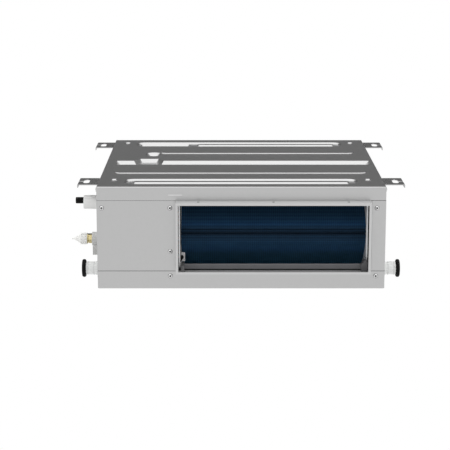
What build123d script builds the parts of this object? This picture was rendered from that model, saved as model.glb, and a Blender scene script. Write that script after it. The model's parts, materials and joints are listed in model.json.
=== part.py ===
from build123d import *
from math import cos, floor, hypot, radians, sin
import os

os.makedirs("parts", exist_ok=True)

# Concealed ceiling duct unit. X to the right, Y from the outlet face to the back, Z up.
# The origin is the centre of the casing's bottom face.

# Casing of folded galvanised sheet
width = 700.0
depth = 700.0
height = 253.0
sheet = 1.0
corner_radius = 3.0
bend_radius = 2.0
lid_flange = 33.5
tray_flange = 44.0
seam = 0.3
tray_seam = 0.7
tongue_lap = 8.0
access_width = 190.0
post_width = 33.0
return_flange = 24.0

# Clearances
fit = 0.3
slip = 0.05
hole_play = 0.2

# Pressed shapes of the lid
press_slope = 45.0
ridge_slope = 35.0
double_bead_width = 68.5
double_bead_drop = 4.0
double_bead_margin = 64.0
double_bead_corner = 24.0
front_bead_place = 69.0
rear_bead_place = 77.0
ridge_width = 21.0
ridge_inset = 20.0
rear_ridge_start = 232.0
deep_end_drop = 4.5
deep_end_start = 72.0
deep_end_stop = 214.0
deep_end_corner = 16.0
channel_drop = 8.5
channel_front = 302.0
channel_back = 360.0
channel_left_margin = 26.0
channel_right_margin = 11.0
channel_corner = 10.0
bulge_left = 71.0
bulge_right = 149.0
bulge_back = 389.0
bulge_shoulder = 15.0
pocket_width = 42.0
pocket_length = 58.0
pocket_from_left = 118.0
pocket_place = 460.0
pad_rise = 1.3
pad_width = 49.0
pad_corner = 20.0
front_pad_place = 203.5
front_pad_margin = 29.0
rear_pad_place = 496.5
rear_pad_left_margin = 133.0
rear_pad_right_margin = 39.0
dimple_width = 15.0
dimple_length = 34.0
dimple_drop = 2.5
dimple_from_side = 37.0
dimple_from_front = 87.0
dimple_from_rear = 58.0
mark_length = 36.0
mark_height = 10.0
mark_drop = 0.6
mark_from_left = 189.0
mark_above_flange = 16.0

# Bottom tray beads
tray_bead_rise = 4.0
tray_bead_width = 26.0
tray_bead_margin = 30.0
tray_bead_inset = 60.0
tray_bead_pitch = 70.0
tray_bead_count = 3

# Screws
screw_shank_radius = 2.0
screw_shank_length = 3.6
screw_head_radius = 5.3
screw_head_height = 2.6
front_screw_inset = 12.0
front_screw_drop = 18.5
access_screw_inset = 12.5
access_screw_height = 93.0
tray_screw_height = 32.0
post_screw_inset = 22.0
side_screw_height = 22.0
side_screw_inset = 30.0
rear_screw_inset = 60.0

# Outlet collar
collar_gap = 1.5
collar_post_gap = 4.3
collar_floor_gap = 0.3
collar_reach = 35.0
collar_lip = 5.5
collar_side_lip = 6.2
collar_base = 26.0
collar_hole_radius = 1.8
collar_hole_count = 3
collar_hole_margin = 54.5
collar_hole_setback = 18.0

# Hanger brackets
bracket_sheet = 2.0
bracket_reach = 50.0
bracket_width = 84.0
bracket_top = 250.0
bracket_leg = 32.0
bracket_lip = 8.0
bracket_slot_length = 47.0
bracket_slot_width = 15.0
bracket_slot_reach = 30.0
bracket_notch = 12.0
bracket_screw_spread = 26.0
bracket_screw_drop = 22.0
bracket_relief_radius = 3.0
bracket_relief_reach = 6.0
front_bracket_place = 88.0
rear_bracket_place = 68.0

# Coil
nose_place = 65.0
nose_height = 130.0
nose_radius = 40.0
coil_thickness = 36.0
lean = 50.0
seam_angle = 10.0
seam_half_angle = 1.2
coil_side_gap = 5.8
coil_right_gap = 2.0
coil_floor = 30.0
tube_radius = 4.0
tube_pitch = 25.0
row_pitch = 18.0
tube_edge = 10.0
tube_stub = 6.0
end_plate = 1.2
end_plate_place = 12.0
end_flange = 4.6

# Lid liner and pan
liner_thickness = 5.0
liner_margin = 4.0
pan_bed = 7.0
pan_wall = 4.0
pan_floor = 3.0
pan_place = 4.0
pan_depth = 200.0
pan_side_gap = 5.0
pan_side_height = 52.0
rim_height = 61.0
rim_thickness = 7.0
rim_bar = 12.4
rim_undercut = 4.0
clip_width = 10.0
wide_clip_width = 20.0
clip_height = 14.0
clip_reach = 14.0
clip_wall = 3.0
tab_width = 9.5
tab_low = 66.0
tab_high = 88.0
tab_hole_radius = 2.0
tab_corner = 3.0

# Drain connections
spigot_place = 75.0
spigot_height = 33.0
spigot_radius = 16.0
spigot_wall = 2.5
spigot_reach = 34.0
spigot_ring = 4.0
spigot_ring_rise = 1.2
spigot_ring_place = 5.0
plug_head_radius = 22.2
plug_head = 9.5
plug_stem = 16.0

# Fan deck and partition
deck_place = 235.0
partition_place = 187.0
wall_fold = 12.0

# Fans
shaft_from_rear = 300.0
shaft_height = 120.0
shaft_radius = 6.0
wheel_radius = 72.0
wheel_width = 130.0
blade_count = 36
blade_depth = 12.0
blade_thickness = 1.2
wheel_ring = 3.0
wheel_disc = 2.5
hub_radius = 13.0
hub_length = 30.0
scroll_wall = 2.0
scroll_width = 158.0
scroll_clearance = 8.0
scroll_growth = 9.0
scroll_inlet_radius = 58.0
scroll_inlet_lip = 6.0
scroll_tongue = 16.0
tongue_radius = 12.0
scroll_flange = 6.0
motor_radius = 50.0
motor_length = 90.0
motor_boss_radius = 20.0
motor_boss = 12.0
motor_gap = 22.0
rubber_ring_wall = 8.0
rubber_ring_width = 10.0
cradle_foot = 3.0
cradle_top_width = 88.0
cradle_base_width = 104.0
strap_thickness = 2.0
strap_foot = 12.0
cradle_window_width = 56.0
cradle_window_height = 50.0

# Refrigerant fittings on the left side
gas_place = 130.0
gas_height = 95.5
gas_pipe_radius = 8.0
liquid_place = 190.0
liquid_height = 84.0
liquid_pipe_radius = 4.75
plate_reach = 23.0
plate_front = 120.0
plate_back = 204.0
plate_floor = 55.0
plate_ceiling = 96.0
boss_radius = 17.0
boss_step = 1.7
plate_corner = 4.0
plate_round = 1.5
union_seat = 5.0
gas_bore_radius = 6.5
liquid_bore_radius = 3.5
flare_bevel = 1.5
gas_thread_radius = 11.1
gas_shoulder_radius = 12.0
gas_shoulder = 12.0
gas_thread = 13.0
gas_cap_radius = 13.7
gas_skirt = 16.0
gas_cap_length = 38.0
liquid_thread_radius = 7.9
liquid_shoulder_radius = 9.0
liquid_shoulder = 5.0
liquid_thread = 9.0
liquid_cap_radius = 11.0
liquid_skirt = 12.0
liquid_cap_length = 20.0
cap_tip_radius = 1.6
cap_floor = 2.0
cap_tip = 6.0
cap_shoulder = 1.5
cap_band = 1.5
cap_rib_count = 24
cap_rib_radius = 0.7
header_radius = 9.0
header_overhang = 12.0
header_offset = 34.0
header_elbow = 42.0
pipe_bend = 22.0
capillary_radius = 2.5
capillary_bend = 10.0
capillary_spread = 4.0
capillary_rise = 20.0
capillary_step = 21.0
distributor_radius = 8.0
distributor_length = 34.0
distributor_offset = 58.0
distributor_place = 165.0
distributor_height = 118.0
valve_size = 20.0
valve_corner = 2.0
valve_height = 44.0
valve_offset = 108.0
actuator_radius = 19.0
actuator_height = 28.0

# Drain pump and float switch
pump_from_left = 55.0
pump_place = 88.0
pump_can_radius = 25.0
pump_can = 40.0
pump_flange_radius = 30.0
pump_flange = 3.0
pump_housing_radius = 22.0
pump_housing = 57.0
pump_suction_radius = 11.0
pump_nozzle_radius = 7.0
pump_nozzle = 6.0
pump_nozzle_height = 90.0
pump_inlet_gap = 5.0
shelf_height = 116.0
shelf_sheet = 1.2
shelf_margin = 8.0
shelf_tab = 40.0
pump_outlet_height = 198.0
pump_outlet_radius = 17.0
pump_outlet_wall = 3.0
pump_outlet_groove = 1.0
pump_outlet_reach = 38.0
pump_outlet_depth = 30.0
outlet_socket_radius = 9.0
outlet_socket = 6.0
riser_from_left = 16.0
riser_bend = 9.0
stopper_depth = 10.0
stopper_grip_radius = 7.9
stopper_grip = 20.0
stopper_grip_rise = 4.3
float_from_left = 88.0
float_place = 62.0
float_radius = 11.0
float_height = 16.0
float_travel = 14.0
float_stem_radius = 3.0
float_stop_radius = 6.0
float_stop = 4.0
float_stem_foot = 18.0

# Control box behind a cover on the left side
box_front = 430.0
box_back = 650.0
box_floor = 66.0
box_ceiling = 192.0
box_depth = 120.0
box_sheet = 1.0
box_rim = 10.0
cover_lap = 10.0
board_thickness = 1.6
board_margin = 12.0
board_standoff = 8.0
board_blocks = [
    (6.0, 8.0, 14.0, 84.0, 16.0),
    (30.0, 8.0, 28.0, 30.0, 26.0),
    (30.0, 50.0, 16.0, 20.0, 15.0),
    (30.0, 76.0, 16.0, 20.0, 15.0),
    (56.0, 60.0, 20.0, 20.0, 4.0),
    (66.0, 12.0, 30.0, 12.0, 20.0),
]
capacitor_radius = 16.0
capacitor_length = 70.0
gland_radius = 9.0
gland_reach = 10.0
gland_pitch = 34.0

# Return opening, filter and its rails
return_floor = 56.0
return_ceiling = 207.0
return_margin = 22.0
filter_thickness = 8.0
filter_border = 9.0
filter_bar = 4.0
filter_columns = 5
filter_rows = 2
mesh_thickness = 1.0
rail_wall = 1.5
rail_lap = 7.0

# Planes of the casing
left = -width / 2
right = width / 2
front = -depth / 2
rear = depth / 2
lid_bottom = height - lid_flange
under_lid = height - sheet
panel_floor = tray_flange + tray_seam
panel_ceiling = lid_bottom - seam
panel_middle = (panel_floor + panel_ceiling) / 2

# Outlet opening of the collar
collar_left = left + access_width + collar_gap
collar_right = right - post_width - collar_post_gap
collar_floor = tray_flange + collar_floor_gap
collar_ceiling = lid_bottom - seam - hole_play
collar_x = (collar_left + collar_right) / 2
collar_z = (collar_floor + collar_ceiling) / 2
collar_width = collar_right - collar_left
collar_height = collar_ceiling - collar_floor
collar_front = front - collar_reach

# Coil reach along X
fin_left = collar_left + collar_side_lip + coil_side_gap
fin_right = collar_right - collar_side_lip - coil_right_gap
fin_length = fin_right - fin_left
plate_left = fin_left - end_plate
plate_right = fin_right + end_plate
tube_left = plate_left - tube_stub
liner_ceiling = height - channel_drop - sheet
liner_floor = liner_ceiling - liner_thickness
coil_ceiling = liner_floor - fit
nose_y = front + nose_place
deck_y = front + deck_place
partition_x = left + partition_place

# Drain pan
pan_bottom = sheet + pan_bed
pan_inside = pan_bottom + pan_floor
pan_front = front + pan_place
pan_back = pan_front + pan_depth
pan_end = right - pan_side_gap

# Fans
shaft_y = rear - shaft_from_rear
bay_left = partition_x
bay_right = right - 2 * sheet
motor_x = (bay_left + bay_right) / 2
fan_offset = motor_length / 2 + motor_gap + scroll_width / 2
volute_radius = wheel_radius + scroll_clearance
bracket_front_y = front + front_bracket_place
bracket_rear_y = rear - rear_bracket_place

# Rows of double beads, as (y, start of the ridge from the left side)
bead_rows = [
    (front + front_bead_place, double_bead_margin + ridge_inset),
    (rear - rear_bead_place, rear_ridge_start),
]

# Screw places, as (x, z) on the front and back and (y, z) on the sides
front_screws = [
    (left + front_screw_inset, lid_bottom - front_screw_drop),
    (left + access_width - access_screw_inset, lid_bottom - front_screw_drop),
    (left + access_width - access_screw_inset, access_screw_height),
    (left + access_width - access_screw_inset, tray_screw_height),
    (right - post_screw_inset, lid_bottom - front_screw_drop),
    (right - post_screw_inset, tray_screw_height),
]
rear_screws = [
    (x, z)
    for x in (left + rear_screw_inset, 0, right - rear_screw_inset)
    for z in (side_screw_height, lid_bottom + lid_flange / 2)
]
tray_side_screws = [(front + side_screw_inset, side_screw_height), (rear - side_screw_inset, side_screw_height)]
bracket_screws = [
    (y + spread, bracket_top - bracket_screw_drop)
    for y in (bracket_front_y, bracket_rear_y)
    for spread in (-bracket_screw_spread, bracket_screw_spread)
]
side_screws = tray_side_screws + bracket_screws


# Tongues of the side and rear panels behind the tray and lid flanges, as (low, high)
tongues = [(sheet, panel_floor + tongue_lap), (panel_ceiling - tongue_lap, under_lid)]

# Return opening, control box and glands
return_left = partition_x + return_margin
return_right = right - return_margin
return_x = (return_left + return_right) / 2
return_z = (return_floor + return_ceiling) / 2
return_width = return_right - return_left
return_height = return_ceiling - return_floor
box_y = front + (box_front + box_back) / 2
box_z = (box_floor + box_ceiling) / 2
gland_places = [(front + box_front - gland_pitch * step, box_z) for step in (1, 2)]
collar_hole_pitch = (collar_width - 2 * collar_hole_margin) / (collar_hole_count - 1)


def press(outline, level, rise, slope=press_slope):
    """Press an outline up or down out of a flat sheet whose top face is at level."""
    skin = level - sheet
    start, cut = (level, skin) if rise > 0 else (skin, level)
    with BuildSketch(Plane.XY.offset(start)) as outside:
        add(outline)
    extrude(outside.sketch, amount=rise, taper=slope)
    with BuildSketch(Plane.XY.offset(cut)) as inside:
        add(outline)
    extrude(inside.sketch, amount=rise, taper=slope, mode=Mode.SUBTRACT)


def drill_along_y(places, y):
    """Cut screw holes through the sheets around the plane at y."""
    with BuildSketch(Plane.XZ.offset(-y)) as holes:
        with Locations(*places):
            Circle(screw_shank_radius + hole_play)
    extrude(holes.sketch, amount=3 * sheet, both=True, mode=Mode.SUBTRACT)


def drill_along_x(places, x):
    """Cut screw holes through the sheets around the plane at x."""
    with BuildSketch(Plane.YZ.offset(x)) as holes:
        with Locations(*places):
            Circle(screw_shank_radius + hole_play)
    extrude(holes.sketch, amount=3 * sheet + bracket_sheet, both=True, mode=Mode.SUBTRACT)


# Top panel: a lid with flanges, double beads, a deep channel, two pads and corner dimples
with BuildPart() as top_panel:
    with BuildSketch(Plane.XY.offset(lid_bottom)):
        RectangleRounded(width, depth, corner_radius)
    extrude(amount=lid_flange)
    fillet(top_panel.faces().sort_by(Axis.Z)[-1].edges(), bend_radius)
    with BuildSketch(Plane.XY.offset(lid_bottom)):
        Rectangle(width - 2 * sheet, depth - 2 * sheet)
    extrude(amount=lid_flange - sheet, mode=Mode.SUBTRACT)
    for bead_y, ridge_start in bead_rows:
        with BuildSketch() as recess:
            with Locations((0, bead_y)):
                RectangleRounded(width - 2 * double_bead_margin, double_bead_width, double_bead_corner)
        press(recess.sketch, height, -double_bead_drop)
        ridge_left = left + ridge_start
        ridge_right = right - double_bead_margin - ridge_inset
        with BuildSketch() as ridge:
            with Locations(((ridge_left + ridge_right) / 2, bead_y)):
                SlotOverall(ridge_right - ridge_left, ridge_width)
        press(ridge.sketch, height - double_bead_drop, double_bead_drop, ridge_slope)
    with BuildSketch() as deep_end:
        with Locations((left + (deep_end_start + deep_end_stop) / 2, rear - rear_bead_place)):
            deep_end_width = double_bead_width - 3 * double_bead_drop
            RectangleRounded(deep_end_stop - deep_end_start, deep_end_width, deep_end_corner)
    press(deep_end.sketch, height - double_bead_drop, -deep_end_drop)
    with BuildSketch() as channel:
        with BuildLine():
            Polyline(
                (left + channel_left_margin, front + channel_front),
                (right - channel_right_margin, front + channel_front),
                (right - channel_right_margin, front + channel_back),
                (left + bulge_right, front + channel_back),
                (left + bulge_right - bulge_shoulder, front + bulge_back),
                (left + bulge_left + bulge_shoulder, front + bulge_back),
                (left + bulge_left, front + channel_back),
                (left + channel_left_margin, front + channel_back),
                close=True,
            )
        make_face()
    press(channel.sketch, height, -channel_drop)
    with BuildSketch() as pocket:
        with Locations((left + pocket_from_left, front + pocket_place)):
            SlotOverall(pocket_length, pocket_width, rotation=90)
    press(pocket.sketch, height, -channel_drop)
    with BuildSketch() as front_pad:
        with Locations((0, front + front_pad_place)):
            RectangleRounded(width - 2 * front_pad_margin, pad_width, pad_corner)
    press(front_pad.sketch, height, pad_rise)
    rear_pad_length = width - rear_pad_left_margin - rear_pad_right_margin
    rear_pad_x = (rear_pad_left_margin - rear_pad_right_margin) / 2
    with BuildSketch() as rear_pad:
        with Locations((rear_pad_x, front + rear_pad_place)):
            RectangleRounded(rear_pad_length, pad_width, pad_corner)
    press(rear_pad.sketch, height, pad_rise)
    for dimple_y in (front + dimple_from_front, rear - dimple_from_rear):
        for dimple_x in (left + dimple_from_side, right - dimple_from_side):
            with BuildSketch() as dimple:
                with Locations((dimple_x, dimple_y)):
                    SlotOverall(dimple_length, dimple_width, rotation=90)
            press(dimple.sketch, height, -dimple_drop)
    with BuildSketch(Plane.XZ.offset(-front)):
        with Locations((left + mark_from_left, lid_bottom + mark_above_flange)):
            SlotOverall(mark_length, mark_height)
    extrude(amount=-mark_drop, mode=Mode.SUBTRACT)
    drill_along_y(rear_screws, rear)
    drill_along_x(bracket_screws, left)
    drill_along_x(bracket_screws, right)
top_panel.part.label = "top_panel"
export_step(top_panel.part, "parts/top_panel.step")

# Bottom tray: floor with upturned flanges and three stiffening beads
with BuildPart() as bottom_tray:
    with BuildSketch():
        RectangleRounded(width, depth, corner_radius)
    extrude(amount=tray_flange)
    fillet(bottom_tray.faces().sort_by(Axis.Z)[0].edges(), bend_radius)
    with BuildSketch(Plane.XY.offset(sheet)):
        Rectangle(width - 2 * sheet, depth - 2 * sheet)
    extrude(amount=tray_flange - sheet, mode=Mode.SUBTRACT)
    for row in range(tray_bead_count):
        with BuildSketch() as tray_bead:
            with Locations((motor_x, rear - tray_bead_inset - row * tray_bead_pitch)):
                SlotOverall(bay_right - bay_left - 2 * tray_bead_margin, tray_bead_width)
        press(tray_bead.sketch, sheet, tray_bead_rise)
    drill_along_y(front_screws, front)
    drill_along_y(rear_screws, rear)
    with BuildSketch(Plane.YZ.offset(left)) as drain_notches:
        with Locations((front + spigot_place, spigot_height)):
            Circle(spigot_radius + spigot_ring_rise + fit)
    extrude(drain_notches.sketch, amount=width, mode=Mode.SUBTRACT)
    drill_along_x(tray_side_screws, left)
    drill_along_x(tray_side_screws, right)
bottom_tray.part.label = "bottom_tray"
export_step(bottom_tray.part, "parts/bottom_tray.step")


# Left side panel: joggled top and bottom edges, folded front and back, openings for pipes and the cover
with BuildPart() as left_side_panel:
    with BuildSketch(Plane.YZ.offset(left)):
        with Locations((0, panel_middle)):
            Rectangle(depth - 2 * sheet, panel_ceiling - panel_floor)
    extrude(amount=sheet)
    with BuildSketch(Plane.YZ.offset(left + sheet)):
        for low, high in tongues:
            with Locations((0, (low + high) / 2)):
                Rectangle(depth - 4 * sheet, high - low)
    extrude(amount=sheet)
    with BuildSketch(Plane.XY.offset(panel_floor)):
        for y in (front + sheet, rear - 2 * sheet):
            with Locations((left, y)):
                Rectangle(return_flange, sheet, align=(Align.MIN, Align.MIN))
    extrude(amount=panel_ceiling - panel_floor)
    with BuildSketch(Plane.YZ.offset(left)) as side_openings:
        with Locations((front + spigot_place, spigot_height)):
            Circle(spigot_radius + spigot_ring_rise + fit)
        with Locations((front + pump_place, pump_outlet_height)):
            Circle(pump_outlet_radius + fit)
        with Locations((front + gas_place, gas_height)):
            Circle(gas_pipe_radius + 2 * hole_play)
        with Locations((front + liquid_place, liquid_height)):
            Circle(liquid_pipe_radius + 2 * hole_play)
        with Locations((box_y, box_z)):
            Rectangle(box_back - box_front, box_ceiling - box_floor)
        with Locations(*gland_places):
            Circle(gland_radius - sheet + hole_play)
    extrude(side_openings.sketch, amount=2 * sheet, mode=Mode.SUBTRACT)
    drill_along_y(front_screws, front)
    drill_along_x(side_screws, left)
left_side_panel.part.label = "left_side_panel"
export_step(left_side_panel.part, "parts/left_side_panel.step")

# Right side panel: the same joggles, and a folded front post beside the outlet
with BuildPart() as right_side_panel:
    with BuildSketch(Plane.YZ.offset(right - sheet)):
        with Locations((-sheet / 2, panel_middle)):
            Rectangle(depth - sheet, panel_ceiling - panel_floor)
    extrude(amount=sheet)
    with BuildSketch(Plane.YZ.offset(right - 2 * sheet)):
        for low, high in tongues:
            with Locations((0, (low + high) / 2)):
                Rectangle(depth - 4 * sheet, high - low)
    extrude(amount=sheet)
    with BuildSketch(Plane.XY.offset(panel_floor)):
        with Locations((right, front)):
            Rectangle(post_width, sheet, align=(Align.MAX, Align.MIN))
        with Locations((right, rear - 2 * sheet)):
            Rectangle(return_flange, sheet, align=(Align.MAX, Align.MIN))
    extrude(amount=panel_ceiling - panel_floor)
    with BuildSketch(Plane.YZ.offset(right - 2 * sheet)) as drain_opening:
        with Locations((front + spigot_place, spigot_height)):
            Circle(spigot_radius + spigot_ring_rise + fit)
    extrude(drain_opening.sketch, amount=2 * sheet, mode=Mode.SUBTRACT)
    drill_along_y(front_screws, front)
    drill_along_x(side_screws, right)
right_side_panel.part.label = "right_side_panel"
export_step(right_side_panel.part, "parts/right_side_panel.step")

# Front access panel, flush with the lid and tray flanges
with BuildPart() as front_access_panel:
    with BuildSketch(Plane.XZ.offset(-front)):
        with Locations((left, panel_middle)):
            Rectangle(access_width, panel_ceiling - panel_floor, align=(Align.MIN, Align.CENTER))
    extrude(amount=-sheet)
    drill_along_y(front_screws, front)
front_access_panel.part.label = "front_access_panel"
export_step(front_access_panel.part, "parts/front_access_panel.step")

# Rear panel with tongues behind the lid and tray, and the return-air opening
with BuildPart() as rear_panel:
    with BuildSketch(Plane.XZ.offset(-rear)):
        with Locations((0, panel_middle)):
            Rectangle(width, panel_ceiling - panel_floor)
    extrude(amount=sheet)
    with BuildSketch(Plane.XZ.offset(sheet - rear)):
        for low, high in tongues:
            with Locations((0, (low + high) / 2)):
                Rectangle(width - 2 * (return_flange + fit), high - low)
    extrude(amount=sheet)
    with BuildSketch(Plane.XZ.offset(-rear)) as return_opening:
        with Locations((return_x, return_z)):
            Rectangle(return_width, return_height)
    extrude(return_opening.sketch, amount=3 * sheet, both=True, mode=Mode.SUBTRACT)
    drill_along_y(rear_screws, rear)
rear_panel.part.label = "rear_panel"
export_step(rear_panel.part, "parts/rear_panel.step")

# Outlet collar: a duct spigot with an inward lip, on a base flange behind the front sheets
with BuildPart() as outlet_collar:
    with BuildSketch(Plane.XZ.offset(-front - sheet)):
        with Locations((collar_x, collar_z)):
            Rectangle(collar_width + 2 * collar_base, collar_height + 2 * collar_base)
    extrude(amount=-sheet)
    with BuildSketch(Plane.XZ.offset(-collar_front)):
        with Locations((collar_x, collar_z)):
            Rectangle(collar_width, collar_height)
    extrude(amount=-collar_reach - 2 * sheet)
    with BuildSketch(Plane.XZ.offset(-collar_front - sheet)):
        with Locations((collar_x, collar_z)):
            Rectangle(collar_width - 2 * sheet, collar_height - 2 * sheet)
    extrude(amount=-collar_reach - sheet, mode=Mode.SUBTRACT)
    with BuildSketch(Plane.XZ.offset(-collar_front)):
        with Locations((collar_x, collar_z)):
            Rectangle(collar_width - 2 * collar_side_lip, collar_height - 2 * collar_lip)
    extrude(amount=-2 * sheet, mode=Mode.SUBTRACT)
    with BuildSketch(Plane.XY.offset(collar_ceiling)) as collar_holes:
        with Locations((collar_x, collar_front + collar_hole_setback)):
            with GridLocations(collar_hole_pitch, 1, collar_hole_count, 1):
                Circle(collar_hole_radius)
    extrude(collar_holes.sketch, amount=-2 * sheet, mode=Mode.SUBTRACT)
    drill_along_y(front_screws, front)
outlet_collar.part.label = "outlet_collar"
export_step(outlet_collar.part, "parts/outlet_collar.step")

# Hanger brackets, two on each side: a slotted plate with an end lip and a screwed leg
with BuildPart() as bracket:
    with BuildSketch(Plane.XZ):
        with BuildLine():
            Polyline(
                (0, bracket_top - bracket_leg),
                (bracket_sheet, bracket_top - bracket_leg),
                (bracket_sheet, bracket_top - bracket_sheet),
                (bracket_reach - bracket_sheet, bracket_top - bracket_sheet),
                (bracket_reach - bracket_sheet, bracket_top - bracket_lip),
                (bracket_reach, bracket_top - bracket_lip),
                (bracket_reach, bracket_top),
                (0, bracket_top),
                close=True,
            )
        make_face()
    extrude(amount=bracket_width / 2, both=True)
    bends = bracket.edges().filter_by(Axis.Y).group_by(Axis.Z)[-1]
    fillet(bends, bracket_sheet)
    with BuildSketch(Plane.XY.offset(bracket_top)) as bracket_slot:
        with Locations((bracket_slot_reach, 0)):
            SlotOverall(bracket_slot_length, bracket_slot_width, rotation=90)
        with Locations((bracket_slot_reach, 0)):
            Rectangle(bracket_reach, bracket_notch, align=(Align.MIN, Align.CENTER))
        with Locations((bracket_relief_reach, 0)):
            with GridLocations(1, 2 * bracket_screw_spread, 1, 2):
                Circle(bracket_relief_radius)
    extrude(bracket_slot.sketch, amount=-bracket_lip - bracket_sheet, mode=Mode.SUBTRACT)
    with BuildSketch(Plane.YZ) as leg_holes:
        with Locations((0, bracket_top - bracket_screw_drop)):
            with GridLocations(2 * bracket_screw_spread, 1, 2, 1):
                Circle(screw_shank_radius + hole_play)
    extrude(leg_holes.sketch, amount=bracket_sheet, mode=Mode.SUBTRACT)

for side, edge, turn in (("left", left, 180), ("right", right, 0)):
    with BuildPart() as hanger_brackets:
        for y in (bracket_front_y, bracket_rear_y):
            with Locations(Location((edge, y, 0), (0, 0, turn))):
                add(bracket.part)
    hanger_brackets.part.label = f"hanger_brackets_{side}"
    export_step(hanger_brackets.part, f"parts/hanger_brackets_{side}.step")

# Casing screws: pan heads seated on the sheets and the bracket legs
with BuildPart() as screw:
    with BuildSketch():
        Circle(screw_head_radius)
    extrude(amount=screw_head_height)
    fillet(screw.edges().group_by(Axis.Z)[-1], screw_head_height * 0.8)
    with BuildSketch():
        Circle(screw_shank_radius)
    extrude(amount=-screw_shank_length)

with BuildPart() as casing_screws:
    with Locations(*[Location((x, front, z), (90, 0, 0)) for x, z in front_screws]):
        add(screw.part)
    with Locations(*[Location((x, rear, z), (-90, 0, 0)) for x, z in rear_screws]):
        add(screw.part)
    for side, edge in ((-1, left), (1, right)):
        with Locations(*[Location((edge, y, z), (0, 90 * side, 0)) for y, z in tray_side_screws]):
            add(screw.part)
        leg_face = edge + side * bracket_sheet
        with Locations(*[Location((leg_face, y, z), (0, 90 * side, 0)) for y, z in bracket_screws]):
            add(screw.part)
casing_screws.part.label = "casing_screws"
export_step(casing_screws.part, "parts/casing_screws.step")

# Lid liner: a foam sheet that closes the gap above the coil
with BuildPart() as lid_liner:
    with BuildSketch(Plane.XY.offset(liner_floor)):
        Rectangle(width - 2 * liner_margin, depth - 2 * liner_margin)
    extrude(amount=liner_thickness)
lid_liner.part.label = "lid_liner"
export_step(lid_liner.part, "parts/lid_liner.step")

# Pan insulation: the foam bed between the tray and the drain pan
with BuildPart() as pan_insulation:
    with BuildSketch(Plane.XY.offset(sheet)):
        with Locations((0, pan_front)):
            Rectangle(2 * pan_end, pan_depth, align=(Align.CENTER, Align.MIN))
    extrude(amount=pan_bed)
pan_insulation.part.label = "pan_insulation"
export_step(pan_insulation.part, "parts/pan_insulation.step")

# Drain pan: a moulded trough with a raised front rim across the outlet
with BuildPart() as drain_pan:
    with BuildSketch(Plane.XY.offset(pan_bottom)):
        with Locations((0, pan_front)):
            Rectangle(2 * pan_end, pan_depth, align=(Align.CENTER, Align.MIN))
    extrude(amount=pan_side_height - pan_bottom)
    with BuildSketch(Plane.XY.offset(pan_inside)):
        with Locations((0, pan_front + rim_thickness)):
            trough_depth = pan_depth - rim_thickness - pan_wall
            Rectangle(2 * (pan_end - pan_wall), trough_depth, align=(Align.CENTER, Align.MIN))
    extrude(amount=height, mode=Mode.SUBTRACT)
    with BuildSketch(Plane.XY.offset(pan_side_height)):
        with Locations((plate_left, pan_front)):
            Rectangle(plate_right - plate_left, rim_thickness, align=(Align.MIN, Align.MIN))
    extrude(amount=rim_height - pan_side_height)
    rim_edges = drain_pan.edges().filter_by(Axis.X).group_by(Axis.Z)[-1]
    fillet(rim_edges, rim_thickness / 3)
    with BuildSketch(Plane.XY.offset(pan_bottom)) as rim_setback:
        with Locations((0, pan_front)):
            Rectangle(2 * pan_end, rim_undercut, align=(Align.CENTER, Align.MIN))
    extrude(rim_setback.sketch, amount=rim_height - rim_bar - pan_bottom, mode=Mode.SUBTRACT)
    with BuildSketch(Plane.YZ.offset(-pan_end)) as drain_bores:
        with Locations((front + spigot_place, spigot_height)):
            Circle(spigot_radius - spigot_wall)
    extrude(drain_bores.sketch, amount=2 * pan_end, mode=Mode.SUBTRACT)
drain_pan.part.label = "drain_pan"
export_step(drain_pan.part, "parts/drain_pan.step")

# Pan clips: hooks over both ends of the pan rim, standing on the collar floor
clip_foot = collar_floor + sheet
clip_places = [
    (fin_left + fit, clip_width, rim_height + clip_wall),
    (fin_right - fit - wide_clip_width, wide_clip_width, rim_height + clip_height),
]
with BuildPart() as pan_clips:
    for clip_x, clip_across, clip_top in clip_places:
        with BuildSketch(Plane.YZ.offset(clip_x)):
            with BuildLine():
                Polyline(
                    (pan_front - clip_reach, clip_foot),
                    (pan_front, clip_foot),
                    (pan_front, rim_height),
                    (pan_front + rim_thickness + fit, rim_height),
                    (pan_front + rim_thickness + fit, rim_height - clip_height / 2),
                    (pan_front + rim_thickness + pan_wall, rim_height - clip_height / 2),
                    (pan_front + rim_thickness + pan_wall, clip_top),
                    (pan_front, clip_top),
                    (pan_front - clip_reach, rim_height - pan_wall),
                    close=True,
                )
            make_face()
        extrude(amount=clip_across)
pan_clips.part.label = "pan_clips"
export_step(pan_clips.part, "parts/pan_clips.step")

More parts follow.
